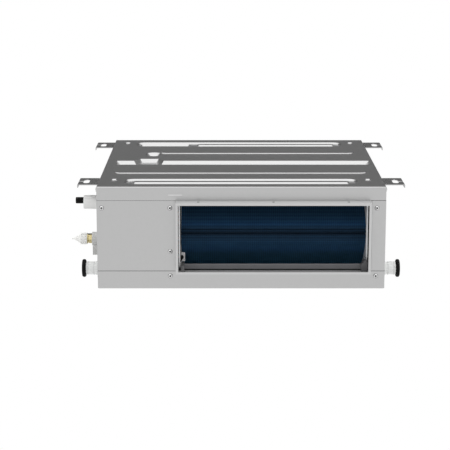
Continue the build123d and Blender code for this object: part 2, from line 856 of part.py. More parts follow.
# Drain spigots: ringed tubes from the pan ends out through the side panels, and their rubber plugs
for side, way in (("left", -1), ("right", 1)):
    spigot_length = right + spigot_reach - pan_end
    spigot_end = way * (right + spigot_reach)
    outward = Plane(origin=(way * pan_end, front + spigot_place, spigot_height), z_dir=(way, 0, 0))
    with BuildPart() as drain_spigot:
        with BuildSketch(outward):
            Circle(spigot_radius)
        extrude(amount=spigot_length)
        with BuildSketch(outward):
            Circle(spigot_radius + spigot_ring_rise)
        extrude(amount=pan_side_gap - 2 * sheet - hole_play)
        with BuildSketch(outward.offset(pan_side_gap + spigot_ring_place)):
            Circle(spigot_radius + spigot_ring_rise)
        extrude(amount=spigot_ring)
        with BuildSketch(outward):
            Circle(spigot_radius - spigot_wall)
        extrude(amount=spigot_length, mode=Mode.SUBTRACT)
    drain_spigot.part.label = f"drain_spigot_{side}"
    export_step(drain_spigot.part, f"parts/drain_spigot_{side}.step")

    plug_face = Plane(origin=(spigot_end + way * fit, front + spigot_place, spigot_height), z_dir=(way, 0, 0))
    with BuildPart() as drain_plug:
        with BuildSketch(plug_face):
            Circle(plug_head_radius)
        extrude(amount=plug_head)
        fillet(drain_plug.edges(), plug_head * 0.4)
        with BuildSketch(plug_face):
            Circle(spigot_radius - spigot_wall - fit)
        extrude(amount=-plug_stem)
    drain_plug.part.label = f"drain_plug_{side}"
    export_step(drain_plug.part, f"parts/drain_plug_{side}.step")


def sweep_pipe(points, radius, bend):
    """Sweep a round bar along a path of straight runs with rounded corners."""
    with BuildLine() as run_line:
        FilletPolyline(*points, radius=bend)
    start_plane = Plane(origin=points[0], z_dir=Vector(points[1]) - Vector(points[0]))
    with BuildSketch(start_plane) as pipe_section:
        Circle(radius)
    sweep(pipe_section.sketch, path=run_line.line)


def turned(profile, y, z):
    """Turn a profile of (x, radius) points about a line along X through (y, z)."""
    with BuildSketch(Plane(origin=(0, y, z), x_dir=(1, 0, 0), z_dir=(0, -1, 0))) as turned_profile:
        with BuildLine():
            Polyline(*profile, close=True)
        make_face()
    revolve(turned_profile.sketch, axis=Axis((0, y, z), (1, 0, 0)))


def nose_point(radius, angle):
    """A point around the coil's nose, angle up from the forward direction."""
    return (nose_y - radius * cos(radians(angle)), nose_height + radius * sin(radians(angle)))


def slab_point(radius, tilt, run):
    """A point on a coil slab, at a radius from the nose centre and a run up or down the lean."""
    y, z = nose_point(radius, tilt)
    return (y + run * abs(sin(radians(tilt))), z + run * cos(radians(tilt)) * (1 if tilt > 0 else -1))


# Coil fin blocks: two slabs that lean back from a rounded nose, bored for the tubes
inner_radius = nose_radius - coil_thickness
outer_row = nose_radius - (coil_thickness - row_pitch) / 2
inner_row = outer_row - row_pitch
upper_run = (coil_ceiling - nose_point(nose_radius, lean)[1]) / cos(radians(lean))
lower_run = (nose_point(nose_radius, -lean)[1] - coil_floor) / cos(radians(lean))
slabs = [
    ("upper", lean, seam_angle + seam_half_angle, upper_run),
    ("lower", -lean, seam_angle - seam_half_angle, lower_run),
]
for name, tilt, start, run in slabs:
    middle = (start + tilt) / 2
    tube_count = floor((run - 2 * tube_edge) / tube_pitch) + 1
    with BuildPart() as coil_fins:
        with BuildSketch(Plane.YZ.offset(fin_left)):
            with BuildLine():
                ThreePointArc(
                    nose_point(nose_radius, start),
                    nose_point(nose_radius, middle),
                    nose_point(nose_radius, tilt),
                )
                Line(nose_point(nose_radius, tilt), slab_point(nose_radius, tilt, run))
                Line(slab_point(nose_radius, tilt, run), slab_point(inner_radius, tilt, run))
                Line(slab_point(inner_radius, tilt, run), nose_point(inner_radius, tilt))
                ThreePointArc(
                    nose_point(inner_radius, tilt),
                    nose_point(inner_radius, middle),
                    nose_point(inner_radius, start),
                )
                Line(nose_point(inner_radius, start), nose_point(nose_radius, start))
            make_face()
            for row in (outer_row, inner_row):
                for index in range(tube_count):
                    with Locations(slab_point(row, tilt, tube_edge + index * tube_pitch)):
                        Circle(tube_radius + slip, mode=Mode.SUBTRACT)
        extrude(amount=fin_length)
    coil_fins.part.label = f"coil_fins_{name}"
    export_step(coil_fins.part, f"parts/coil_fins_{name}.step")

# Coil end plates: they carry the slabs and close the coil to the fan deck
for side, x, flange_x in (
    ("left", plate_left, plate_left - end_flange),
    ("right", fin_right, fin_right),
):
    with BuildPart() as coil_end_plate:
        with BuildSketch(Plane.YZ.offset(x)):
            with BuildLine():
                Polyline(
                    (front + end_plate_place, pan_inside),
                    (pan_back - pan_wall - fit, pan_inside),
                    (pan_back - pan_wall - fit, pan_side_height + fit),
                    (deck_y - fit, pan_side_height + fit),
                    (deck_y - fit, coil_ceiling),
                    (front + end_plate_place, coil_ceiling),
                    close=True,
                )
            make_face()
            for name, tilt, start, run in slabs:
                tube_count = floor((run - 2 * tube_edge) / tube_pitch) + 1
                for row in (outer_row, inner_row):
                    for index in range(tube_count):
                        with Locations(slab_point(row, tilt, tube_edge + index * tube_pitch)):
                            Circle(tube_radius + hole_play, mode=Mode.SUBTRACT)
        extrude(amount=end_plate)
        with BuildSketch(Plane.XZ.offset(-front - end_plate_place)) as plate_flange:
            with Locations((flange_x, pan_inside)):
                flange_align = (Align.MIN, Align.MIN)
                Rectangle(end_plate + end_flange, coil_ceiling - pan_inside, align=flange_align)
        extrude(plate_flange.sketch, amount=-end_plate)
        if side == "left":
            with BuildSketch(Plane.XZ.offset(-front - end_plate_place)) as plate_tab:
                with Locations((plate_left, (tab_low + tab_high) / 2)):
                    tab_align = (Align.MIN, Align.CENTER)
                    Rectangle(end_plate + tab_width, tab_high - tab_low, align=tab_align)
                fillet(plate_tab.vertices().group_by(Axis.X)[-1], tab_corner)
                with Locations((plate_left + end_plate + tab_width / 2, (tab_low + tab_high) / 2)):
                    Circle(tab_hole_radius, mode=Mode.SUBTRACT)
            extrude(plate_tab.sketch, amount=-end_plate)
    coil_end_plate.part.label = f"coil_end_plate_{side}"
    export_step(coil_end_plate.part, f"parts/coil_end_plate_{side}.step")

# Coil tubes: hairpins through both rows, and return bends at the left that join them in one circuit
with BuildPart() as coil_tubes:
    for name, tilt, start, run in slabs:
        tube_count = floor((run - 2 * tube_edge) / tube_pitch) + 1
        for index in range(tube_count):
            place = tube_edge + index * tube_pitch
            near = slab_point(outer_row, tilt, place)
            far = slab_point(inner_row, tilt, place)
            middle = slab_point((outer_row + inner_row) / 2, tilt, place)
            with BuildLine() as hairpin:
                Line((tube_left, *near), (plate_right, *near))
                ThreePointArc((plate_right, *near), (plate_right + row_pitch / 2, *middle), (plate_right, *far))
                Line((plate_right, *far), (tube_left, *far))
            with BuildSketch(Plane(origin=(tube_left, *near), z_dir=(1, 0, 0))) as tube_section:
                Circle(tube_radius)
            sweep(tube_section.sketch, path=hairpin.line)
        for index in range(tube_count - 1):
            far = slab_point(inner_row, tilt, tube_edge + index * tube_pitch)
            near = slab_point(outer_row, tilt, tube_edge + (index + 1) * tube_pitch)
            middle = ((far[0] + near[0]) / 2, (far[1] + near[1]) / 2)
            half_gap = hypot(far[0] - near[0], far[1] - near[1]) / 2
            with BuildLine() as bend_line:
                ThreePointArc((tube_left, *far), (tube_left - half_gap, *middle), (tube_left, *near))
            with BuildSketch(Plane(origin=(tube_left, *far), z_dir=(-1, 0, 0))) as bend_section:
                Circle(tube_radius)
            sweep(bend_section.sketch, path=bend_line.line)
coil_tubes.part.label = "coil_tubes"
export_step(coil_tubes.part, "parts/coil_tubes.step")

# Ends of the coil circuits
outlets = [slab_point(outer_row, tilt, tube_edge) for name, tilt, start, run in slabs]
inlets = []
for name, tilt, start, run in slabs:
    last_tube = floor((run - 2 * tube_edge) / tube_pitch)
    inlets.append(slab_point(inner_row, tilt, tube_edge + last_tube * tube_pitch))

# Gas header and pipe: both circuits leave the coil here and run out to the gas union
header_x = tube_left - header_offset
header_y = outlets[0][0]
plate_face = left - plate_reach
union_inner = plate_face + union_seat
with BuildPart() as gas_line:
    header_floor = outlets[1][1] - header_overhang
    with BuildSketch(Plane.XY.offset(header_floor)):
        with Locations((header_x, header_y)):
            Circle(header_radius)
    extrude(amount=outlets[0][1] + header_overhang - header_floor)
    fillet(gas_line.edges(), header_radius / 2)
    for outlet in outlets:
        with BuildSketch(Plane(origin=(header_x, *outlet), z_dir=(1, 0, 0))) as stub:
            Circle(tube_radius)
        extrude(stub.sketch, amount=header_offset)
    gas_path = [
        (header_x, header_y, gas_height),
        (header_x - header_elbow, header_y, gas_height),
        (header_x - header_elbow, front + gas_place, gas_height),
        (union_inner, front + gas_place, gas_height),
    ]
    sweep_pipe(gas_path, gas_pipe_radius, pipe_bend)
gas_line.part.label = "gas_line"
export_step(gas_line.part, "parts/gas_line.step")

# Pipe plate: a block with a round boss outside the left panel, bored for both unions
with BuildPart() as pipe_plate:
    with BuildSketch(Plane.YZ.offset(left)) as plate_outline:
        with Locations(((plate_front + plate_back) / 2 + front, (plate_floor + plate_ceiling) / 2)):
            RectangleRounded(plate_back - plate_front, plate_ceiling - plate_floor, plate_corner)
        with Locations((front + gas_place, gas_height)):
            Circle(boss_radius)
    extrude(plate_outline.sketch, amount=boss_step - plate_reach)
    with BuildSketch(Plane.YZ.offset(left)) as boss:
        with Locations((front + gas_place, gas_height)):
            Circle(boss_radius)
    extrude(boss.sketch, amount=-plate_reach)
    fillet(pipe_plate.edges().group_by(Axis.X)[0], plate_round)
    with BuildSketch(Plane.YZ.offset(left)) as pipe_bores:
        with Locations((front + gas_place, gas_height)):
            Circle(gas_pipe_radius + hole_play)
        with Locations((front + liquid_place, liquid_height)):
            Circle(liquid_pipe_radius + hole_play)
    extrude(pipe_bores.sketch, amount=-plate_reach, mode=Mode.SUBTRACT)
    with BuildSketch(Plane.YZ.offset(union_inner)) as union_seats:
        with Locations((front + gas_place, gas_height)):
            Circle(gas_shoulder_radius + hole_play)
        with Locations((front + liquid_place, liquid_height)):
            Circle(liquid_shoulder_radius + hole_play)
    extrude(union_seats.sketch, amount=-union_seat, mode=Mode.SUBTRACT)
pipe_plate.part.label = "pipe_plate"
export_step(pipe_plate.part, "parts/pipe_plate.step")

# Gas union: a brass shoulder and flare thread, and its ribbed cap with a long tip
gas_face = plate_face - gas_shoulder
gas_thread_end = gas_face - gas_thread
with BuildPart() as gas_union:
    turned(
        [
            (union_inner, gas_bore_radius),
            (union_inner, gas_shoulder_radius),
            (gas_face, gas_shoulder_radius),
            (gas_face, gas_thread_radius),
            (gas_thread_end + flare_bevel, gas_thread_radius),
            (gas_thread_end, gas_thread_radius - flare_bevel),
            (gas_thread_end, gas_bore_radius),
        ],
        front + gas_place,
        gas_height,
    )
gas_union.part.label = "gas_union"
export_step(gas_union.part, "parts/gas_union.step")

gas_cap_face = gas_face - fit
gas_cap_tip = gas_cap_face - gas_cap_length
with BuildPart() as gas_cap:
    turned(
        [
            (gas_cap_face, gas_thread_radius + fit),
            (gas_cap_face, gas_cap_radius),
            (gas_cap_face - gas_skirt, gas_cap_radius),
            (gas_cap_face - gas_skirt, gas_cap_radius - cap_shoulder),
            (gas_cap_tip + cap_tip, cap_tip_radius),
            (gas_cap_tip, cap_tip_radius),
            (gas_cap_tip, 0),
            (gas_cap_face - gas_thread - cap_floor, 0),
            (gas_cap_face - gas_thread - cap_floor, gas_thread_radius + fit),
        ],
        front + gas_place,
        gas_height,
    )
    rib_start = (gas_cap_face - cap_band, front + gas_place, gas_height)
    with BuildSketch(Plane(origin=rib_start, z_dir=(-1, 0, 0))) as ribs:
        with PolarLocations(gas_cap_radius, cap_rib_count):
            Circle(cap_rib_radius)
    extrude(ribs.sketch, amount=gas_skirt - 2 * cap_band)
gas_cap.part.label = "gas_cap"
export_step(gas_cap.part, "parts/gas_cap.step")

# Liquid union and its plain cap
liquid_face = plate_face - liquid_shoulder
liquid_thread_end = liquid_face - liquid_thread
with BuildPart() as liquid_union:
    turned(
        [
            (union_inner, liquid_bore_radius),
            (union_inner, liquid_shoulder_radius),
            (liquid_face, liquid_shoulder_radius),
            (liquid_face, liquid_thread_radius),
            (liquid_thread_end + flare_bevel, liquid_thread_radius),
            (liquid_thread_end, liquid_thread_radius - flare_bevel),
            (liquid_thread_end, liquid_bore_radius),
        ],
        front + liquid_place,
        liquid_height,
    )
liquid_union.part.label = "liquid_union"
export_step(liquid_union.part, "parts/liquid_union.step")

liquid_cap_face = liquid_face - fit
liquid_cap_tip = liquid_cap_face - liquid_cap_length
with BuildPart() as liquid_cap:
    turned(
        [
            (liquid_cap_face, liquid_thread_radius + fit),
            (liquid_cap_face, liquid_cap_radius),
            (liquid_cap_face - liquid_skirt, liquid_cap_radius),
            (liquid_cap_face - liquid_skirt, liquid_cap_radius - cap_shoulder),
            (liquid_cap_tip, liquid_cap_radius / 2),
            (liquid_cap_tip, 0),
            (liquid_cap_face - liquid_thread - cap_floor, 0),
            (liquid_cap_face - liquid_thread - cap_floor, liquid_thread_radius + fit),
        ],
        front + liquid_place,
        liquid_height,
    )
liquid_cap.part.label = "liquid_cap"
export_step(liquid_cap.part, "parts/liquid_cap.step")

# Expansion valve: a brass block with a round motor can on top
valve_x = left + valve_offset
valve_y = front + liquid_place
with BuildPart() as expansion_valve:
    with BuildSketch(Plane.XY.offset(liquid_height - valve_height / 2)):
        with Locations((valve_x, valve_y)):
            RectangleRounded(valve_size, valve_size, valve_corner)
    extrude(amount=valve_height)
expansion_valve.part.label = "expansion_valve"
export_step(expansion_valve.part, "parts/expansion_valve.step")

with BuildPart() as valve_actuator:
    with BuildSketch(Plane.XY.offset(liquid_height + valve_height / 2)):
        with Locations((valve_x, valve_y)):
            Circle(actuator_radius)
    extrude(amount=actuator_height)
    fillet(valve_actuator.edges(), valve_corner)
valve_actuator.part.label = "valve_actuator"
export_step(valve_actuator.part, "parts/valve_actuator.step")

# Liquid line: pipe to the valve, feed to the distributor and a capillary to each circuit
distributor_x = tube_left - distributor_offset
distributor_y = front + distributor_place
distributor_top = distributor_height + distributor_length
with BuildPart() as liquid_line:
    with BuildSketch(Plane(origin=(union_inner, valve_y, liquid_height), z_dir=(1, 0, 0))) as liquid_pipe:
        Circle(liquid_pipe_radius)
    extrude(liquid_pipe.sketch, amount=valve_x - valve_size / 2 - union_inner)
    feed_path = [
        (valve_x + valve_size / 2, valve_y, liquid_height),
        (distributor_x, valve_y, liquid_height),
        (distributor_x, distributor_y, liquid_height),
        (distributor_x, distributor_y, distributor_height),
    ]
    sweep_pipe(feed_path, liquid_pipe_radius, capillary_bend)
    with BuildSketch(Plane.XY.offset(distributor_height)) as distributor:
        with Locations((distributor_x, distributor_y)):
            Circle(distributor_radius)
    extrude(distributor.sketch, amount=distributor_length)
    upper_x = distributor_x + capillary_spread
    upper_path = [
        (upper_x, distributor_y, distributor_top),
        (upper_x, distributor_y, inlets[0][1]),
        (upper_x, *inlets[0]),
        (tube_left, *inlets[0]),
    ]
    lower_x = distributor_x - capillary_spread
    lower_path = [
        (lower_x, distributor_y, distributor_top),
        (lower_x, distributor_y, distributor_top + capillary_rise),
        (lower_x, inlets[1][0] + capillary_step, distributor_top + capillary_rise),
        (lower_x, inlets[1][0] + capillary_step, inlets[1][1]),
        (lower_x + capillary_step, *inlets[1]),
        (tube_left, *inlets[1]),
    ]
    sweep_pipe(upper_path, capillary_radius, capillary_bend)
    sweep_pipe(lower_path, capillary_radius, capillary_bend)
liquid_line.part.label = "liquid_line"
export_step(liquid_line.part, "parts/liquid_line.step")

# Drain pump: motor can and flange on the shelf, housing, suction tube and side nozzle below it
pump_x = left + pump_from_left
pump_y = front + pump_place
shelf_top = shelf_height + shelf_sheet
riser_x = left + riser_from_left
with BuildPart() as drain_pump:
    for radius, low, high in (
        (pump_flange_radius, shelf_top, shelf_top + pump_flange),
        (pump_can_radius, shelf_top + pump_flange, shelf_top + pump_flange + pump_can),
        (pump_housing_radius, shelf_height - pump_housing, shelf_top),
        (pump_suction_radius, pan_inside + pump_inlet_gap, shelf_height - pump_housing),
    ):
        with BuildSketch(Plane.XY.offset(low)) as pump_section:
            with Locations((pump_x, pump_y)):
                Circle(radius)
        extrude(pump_section.sketch, amount=high - low)
    fillet(drain_pump.edges().group_by(Axis.Z)[-1], pump_flange)
    with BuildSketch(Plane(origin=(pump_x, pump_y, pump_nozzle_height), z_dir=(-1, 0, 0))) as nozzle:
        Circle(pump_nozzle_radius)
    extrude(nozzle.sketch, amount=pump_housing_radius + pump_nozzle)
drain_pump.part.label = "drain_pump"
export_step(drain_pump.part, "parts/drain_pump.step")

# Pump riser: a bent tube from the nozzle up to the outlet socket
socket_foot = pump_outlet_height - pump_outlet_radius - outlet_socket
with BuildPart() as pump_riser:
    riser_path = [
        (pump_x - pump_housing_radius - pump_nozzle, pump_y, pump_nozzle_height),
        (riser_x, pump_y, pump_nozzle_height),
        (riser_x, pump_y, socket_foot),
    ]
    sweep_pipe(riser_path, pump_nozzle_radius, riser_bend)
pump_riser.part.label = "pump_riser"
export_step(pump_riser.part, "parts/pump_riser.step")

# Pump shelf: a folded sheet on the left panel that carries the pump and the float switch
float_x = left + float_from_left
float_y = front + float_place
shelf_left = left + sheet
shelf_right = float_x + shelf_margin + float_stem_radius
with BuildPart() as pump_shelf:
    with BuildSketch(Plane.XY.offset(shelf_height)) as shelf_outline:
        with Locations(((shelf_left + shelf_right) / 2, pump_y)):
            Rectangle(shelf_right - shelf_left, 2 * (pump_flange_radius + shelf_margin))
        with Locations((pump_x, pump_y)):
            Circle(pump_housing_radius + hole_play, mode=Mode.SUBTRACT)
        with Locations((riser_x, pump_y)):
            Circle(pump_nozzle_radius + fit, mode=Mode.SUBTRACT)
    extrude(shelf_outline.sketch, amount=shelf_sheet)
    with BuildSketch(Plane.YZ.offset(shelf_left)) as shelf_back:
        with Locations((pump_y, shelf_height)):
            tab_width = 2 * (pump_flange_radius + shelf_margin)
            Rectangle(tab_width, shelf_tab, align=(Align.CENTER, Align.MIN))
    extrude(shelf_back.sketch, amount=shelf_sheet)
pump_shelf.part.label = "pump_shelf"
export_step(pump_shelf.part, "parts/pump_shelf.step")

# Pump outlet: a white tube through the left panel with an inner flange and a downward socket
outlet_end = left - pump_outlet_reach
outlet_inner = left + pump_outlet_depth
outlet_plane = Plane(origin=(outlet_inner, pump_y, pump_outlet_height), z_dir=(-1, 0, 0))
with BuildPart() as pump_outlet:
    with BuildSketch(outlet_plane) as outlet_neck:
        Circle(pump_outlet_radius - pump_outlet_groove)
    extrude(outlet_neck.sketch, amount=pump_outlet_depth + fit)
    with BuildSketch(outlet_plane.offset(pump_outlet_depth + fit)) as outlet_tube:
        Circle(pump_outlet_radius)
    extrude(outlet_tube.sketch, amount=pump_outlet_reach - fit)
    with BuildSketch(outlet_plane.offset(pump_outlet_depth - 2 * sheet)) as outlet_flange:
        Circle(pump_outlet_radius + pump_outlet_wall)
    extrude(outlet_flange.sketch, amount=-2 * sheet)
    with BuildSketch(Plane.XY.offset(pump_outlet_height)) as socket:
        with Locations((riser_x, pump_y)):
            Circle(outlet_socket_radius)
    extrude(socket.sketch, amount=socket_foot - pump_outlet_height)
    with BuildSketch(outlet_plane.offset(pump_outlet_wall)) as outlet_bore:
        Circle(pump_outlet_radius - pump_outlet_wall)
    extrude(outlet_bore.sketch, amount=outlet_inner - outlet_end, mode=Mode.SUBTRACT)
pump_outlet.part.label = "pump_outlet"
export_step(pump_outlet.part, "parts/pump_outlet.step")

# Pump stopper: a rubber bung with an offset grip
with BuildPart() as pump_stopper:
    with BuildSketch(Plane(origin=(outlet_end, pump_y, pump_outlet_height), z_dir=(1, 0, 0))) as bung:
        Circle(pump_outlet_radius - pump_outlet_wall - fit)
    extrude(bung.sketch, amount=stopper_depth)
    grip_height = pump_outlet_height + stopper_grip_rise
    with BuildSketch(Plane(origin=(outlet_end, pump_y, grip_height), z_dir=(-1, 0, 0))) as grip:
        Circle(stopper_grip_radius)
    extrude(grip.sketch, amount=stopper_grip)
    fillet(pump_stopper.edges().group_by(Axis.X)[0], stopper_grip_radius / 4)
pump_stopper.part.label = "pump_stopper"
export_step(pump_stopper.part, "parts/pump_stopper.step")

# Float switch: a stem with two stops hanging from the shelf, and the float that rides on it
float_floor = float_stem_foot + float_stop + fit
top_stop = float_floor + float_height + float_travel + fit
with BuildPart() as float_stem:
    for radius, low, high in (
        (float_stem_radius, float_stem_foot, shelf_height),
        (float_stop_radius, float_stem_foot, float_stem_foot + float_stop),
        (float_stop_radius, top_stop, top_stop + float_stop),
        (float_stop_radius, shelf_height - float_stop, shelf_height),
    ):
        with BuildSketch(Plane.XY.offset(low)) as stem_section:
            with Locations((float_x, float_y)):
                Circle(radius)
        extrude(stem_section.sketch, amount=high - low)
float_stem.part.label = "float_stem"
export_step(float_stem.part, "parts/float_stem.step")

with BuildPart() as float:
    with BuildSketch(Plane.XY.offset(float_floor)):
        with Locations((float_x, float_y)):
            Circle(float_radius)
            Circle(float_stem_radius + fit, mode=Mode.SUBTRACT)
    extrude(amount=float_height)
    fillet(float.faces().filter_by(GeomType.CYLINDER).sort_by(SortBy.AREA)[-1].edges(), float_stop / 2)
float.part.label = "float"
export_step(float.part, "parts/float.step")

# Scroll profile around the shaft, as inner points: front wall, floor, back, roof and outlet
scroll_half = scroll_growth / 2
wall_y = shaft_y + scroll_half - volute_radius
low_z = shaft_height - scroll_half - volute_radius
back_y = shaft_y + scroll_half + volute_radius + scroll_growth
roof_z = shaft_height + scroll_half + volute_radius + 2 * scroll_growth
outlet_z = shaft_height + scroll_tongue
deck_back = deck_y + sheet


def volute(centre, radius, start):
    """A quarter turn of the scroll wall from a start angle, as three points."""
    return [
        (centre[0] + radius * cos(radians(angle)), centre[1] + radius * sin(radians(angle)))
        for angle in (start, start + 45, start + 90)
    ]


low_centre = (shaft_y + scroll_half, shaft_height - scroll_half)
back_centre = (shaft_y + scroll_half, shaft_height + scroll_half)
roof_centre = (shaft_y - scroll_half, shaft_height + scroll_half)
with BuildSketch(Plane.YZ) as scroll_space:
    with BuildLine():
        ThreePointArc(*volute(low_centre, volute_radius, 180))
        ThreePointArc(*volute(back_centre, volute_radius + scroll_growth, 270))
        ThreePointArc(*volute(roof_centre, volute_radius + 2 * scroll_growth, 0))
        Line((shaft_y - scroll_half, roof_z), (deck_back, roof_z))
        Line((deck_back, roof_z), (deck_back, outlet_z))
        Line((deck_back, outlet_z), (wall_y - tongue_radius, outlet_z))
        tongue_middle = tongue_radius * cos(radians(45))
        tongue_y = wall_y - tongue_radius
        tongue_z = outlet_z - tongue_radius
        ThreePointArc(
            (tongue_y, outlet_z),
            (tongue_y + tongue_middle, tongue_z + tongue_middle),
            (wall_y, tongue_z),
        )
        Line((wall_y, tongue_z), (wall_y, shaft_height - scroll_half))
    make_face()

# Fan deck with a window for each scroll, and the partition beside the service bay
with BuildPart() as fan_deck:
    with BuildSketch(Plane.XZ.offset(-deck_y)) as deck_outline:
        with Locations(((bay_left + bay_right) / 2, (sheet + coil_ceiling) / 2)):
            Rectangle(bay_right - bay_left, coil_ceiling - sheet)
        for scroll_x in (motor_x - fan_offset, motor_x + fan_offset):
            with Locations((scroll_x, (outlet_z + roof_z) / 2)):
                Rectangle(scroll_width - 2 * scroll_wall, roof_z - outlet_z, mode=Mode.SUBTRACT)
    extrude(deck_outline.sketch, amount=-sheet)
    with BuildSketch(Plane.XY.offset(sheet)) as deck_foot:
        with Locations((motor_x, deck_y)):
            Rectangle(bay_right - bay_left, wall_fold, align=(Align.CENTER, Align.MAX))
    extrude(deck_foot.sketch, amount=sheet)
fan_deck.part.label = "fan_deck"
export_step(fan_deck.part, "parts/fan_deck.step")

with BuildPart() as service_partition:
    partition_front = deck_back
    partition_back = rear - 3 * sheet
    with BuildSketch(Plane.XY.offset(sheet)) as partition_outline:
        with BuildLine():
            Polyline(
                (bay_left, partition_front),
                (bay_left, partition_back),
                (bay_left - wall_fold, partition_back),
                (bay_left - wall_fold, partition_back - sheet),
                (bay_left - sheet, partition_back - sheet),
                (bay_left - sheet, partition_front + sheet),
                (bay_left - wall_fold, partition_front + sheet),
                (bay_left - wall_fold, partition_front),
                close=True,
            )
        make_face()
    extrude(partition_outline.sketch, amount=coil_ceiling - sheet)
service_partition.part.label = "service_partition"
export_step(service_partition.part, "parts/service_partition.step")

# Scroll housings: a volute with bell-mouth inlets on both sides, split at the shaft
for side, scroll_x in (("left", motor_x - fan_offset), ("right", motor_x + fan_offset)):
    with BuildPart() as scroll:
        with BuildSketch(Plane.YZ.offset(scroll_x)) as scroll_outside:
            add(scroll_space.sketch_local)
            offset(amount=scroll_wall, kind=Kind.INTERSECTION)
        extrude(scroll_outside.sketch, amount=scroll_width / 2, both=True)
        with BuildSketch(Plane.YZ.offset(scroll_x)) as scroll_inside:
            add(scroll_space.sketch_local)
        extrude(scroll_inside.sketch, amount=scroll_width / 2 - scroll_wall, both=True, mode=Mode.SUBTRACT)
        with BuildSketch(Plane.YZ.offset(scroll_x)) as bell:
            with Locations((shaft_y, shaft_height)):
                Circle(scroll_inlet_radius + scroll_wall)
        extrude(bell.sketch, amount=scroll_width / 2 + scroll_inlet_lip, both=True)
        with BuildSketch(Plane.YZ.offset(scroll_x)) as wheel_space:
            with Locations((shaft_y, shaft_height)):
                Circle(scroll_inlet_radius + scroll_wall)
        extrude(wheel_space.sketch, amount=scroll_width / 2 - scroll_wall, both=True, mode=Mode.SUBTRACT)
        with BuildSketch(Plane.YZ.offset(scroll_x)) as inlet:
            with Locations((shaft_y, shaft_height)):
                Circle(scroll_inlet_radius)
        extrude(inlet.sketch, amount=scroll_width, both=True, mode=Mode.SUBTRACT)
        with BuildSketch(Plane.XZ.offset(-deck_back)) as scroll_mouth:
            with Locations((scroll_x, (outlet_z + roof_z) / 2)):
                flange_width = scroll_width + 2 * scroll_flange
                Rectangle(flange_width, roof_z - outlet_z + 2 * (scroll_wall + scroll_flange))
                Rectangle(scroll_width - 2 * scroll_wall, roof_z - outlet_z, mode=Mode.SUBTRACT)
        extrude(scroll_mouth.sketch, amount=-scroll_wall)
        with BuildSketch(Plane.XZ.offset(-deck_back)) as mouth_trim:
            with Locations((scroll_x, shaft_height)):
                Rectangle(2 * scroll_width, 2 * height)
        extrude(mouth_trim.sketch, amount=2 * scroll_wall, mode=Mode.SUBTRACT)
    for half, kept in (("lower", Keep.BOTTOM), ("upper", Keep.TOP)):
        with BuildPart() as scroll_half_part:
            add(scroll.part)
            split(bisect_by=Plane.XY.offset(shaft_height), keep=kept)
        scroll_half_part.part.label = f"scroll_{side}_{half}"
        export_step(scroll_half_part.part, f"parts/scroll_{side}_{half}.step")

# Blower wheels: forward-curved blades between two rings, a centre disc and a hub
with BuildSketch(Plane.YZ) as blade:
    with BuildLine():
        blade_inner = wheel_radius - blade_depth
        blade_bow = blade_depth * 0.3
        ThreePointArc(
            (blade_inner, 0),
            ((blade_inner + wheel_radius) / 2, -blade_bow),
            (wheel_radius - blade_thickness, blade_bow / 2),
        )
    trace(line_width=blade_thickness)

for side, wheel_x in (("left", motor_x - fan_offset), ("right", motor_x + fan_offset)):
    with BuildPart() as blower_wheel:
        with BuildSketch(Plane.YZ.offset(wheel_x)) as blades:
            with Locations((shaft_y, shaft_height)):
                with PolarLocations(0, blade_count):
                    add(blade.sketch_local)
        extrude(blades.sketch, amount=wheel_width / 2, both=True)
        for ring_x in (wheel_x - wheel_width / 2, wheel_x + wheel_width / 2 - wheel_ring):
            with BuildSketch(Plane.YZ.offset(ring_x)) as ring:
                with Locations((shaft_y, shaft_height)):
                    Circle(wheel_radius)
                    Circle(wheel_radius - blade_depth / 2, mode=Mode.SUBTRACT)
            extrude(ring.sketch, amount=wheel_ring)
        with BuildSketch(Plane.YZ.offset(wheel_x)) as disc:
            with Locations((shaft_y, shaft_height)):
                Circle(wheel_radius - blade_depth / 2)
        extrude(disc.sketch, amount=wheel_disc / 2, both=True)
        with BuildSketch(Plane.YZ.offset(wheel_x)) as hub:
            with Locations((shaft_y, shaft_height)):
                Circle(hub_radius)
        extrude(hub.sketch, amount=hub_length / 2, both=True)
        with BuildSketch(Plane.YZ.offset(wheel_x)) as hub_bore:
            with Locations((shaft_y, shaft_height)):
                Circle(shaft_radius)
        extrude(hub_bore.sketch, amount=hub_length, both=True, mode=Mode.SUBTRACT)
    blower_wheel.part.label = f"blower_wheel_{side}"
    export_step(blower_wheel.part, f"parts/blower_wheel_{side}.step")

# Fan motor with a boss at each end, and the shaft right through it
shaft_plane = Plane(origin=(motor_x, shaft_y, shaft_height), z_dir=(1, 0, 0))
with BuildPart() as fan_motor:
    with BuildSketch(shaft_plane) as motor_can:
        Circle(motor_radius)
    extrude(motor_can.sketch, amount=motor_length / 2, both=True)
    fillet(fan_motor.edges(), motor_boss / 2)
    with BuildSketch(shaft_plane) as motor_bosses:
        Circle(motor_boss_radius)
    extrude(motor_bosses.sketch, amount=motor_length / 2 + motor_boss, both=True)
    with BuildSketch(shaft_plane) as motor_bore:
        Circle(shaft_radius + slip)
    extrude(motor_bore.sketch, amount=motor_length, both=True, mode=Mode.SUBTRACT)
fan_motor.part.label = "fan_motor"
export_step(fan_motor.part, "parts/fan_motor.step")

with BuildPart() as motor_shaft:
    with BuildSketch(shaft_plane) as shaft_section:
        Circle(shaft_radius)
    extrude(shaft_section.sketch, amount=fan_offset + hub_length / 2 + wheel_ring, both=True)
    chamfer(motor_shaft.edges(), slip * 10)
motor_shaft.part.label = "motor_shaft"
export_step(motor_shaft.part, "parts/motor_shaft.step")

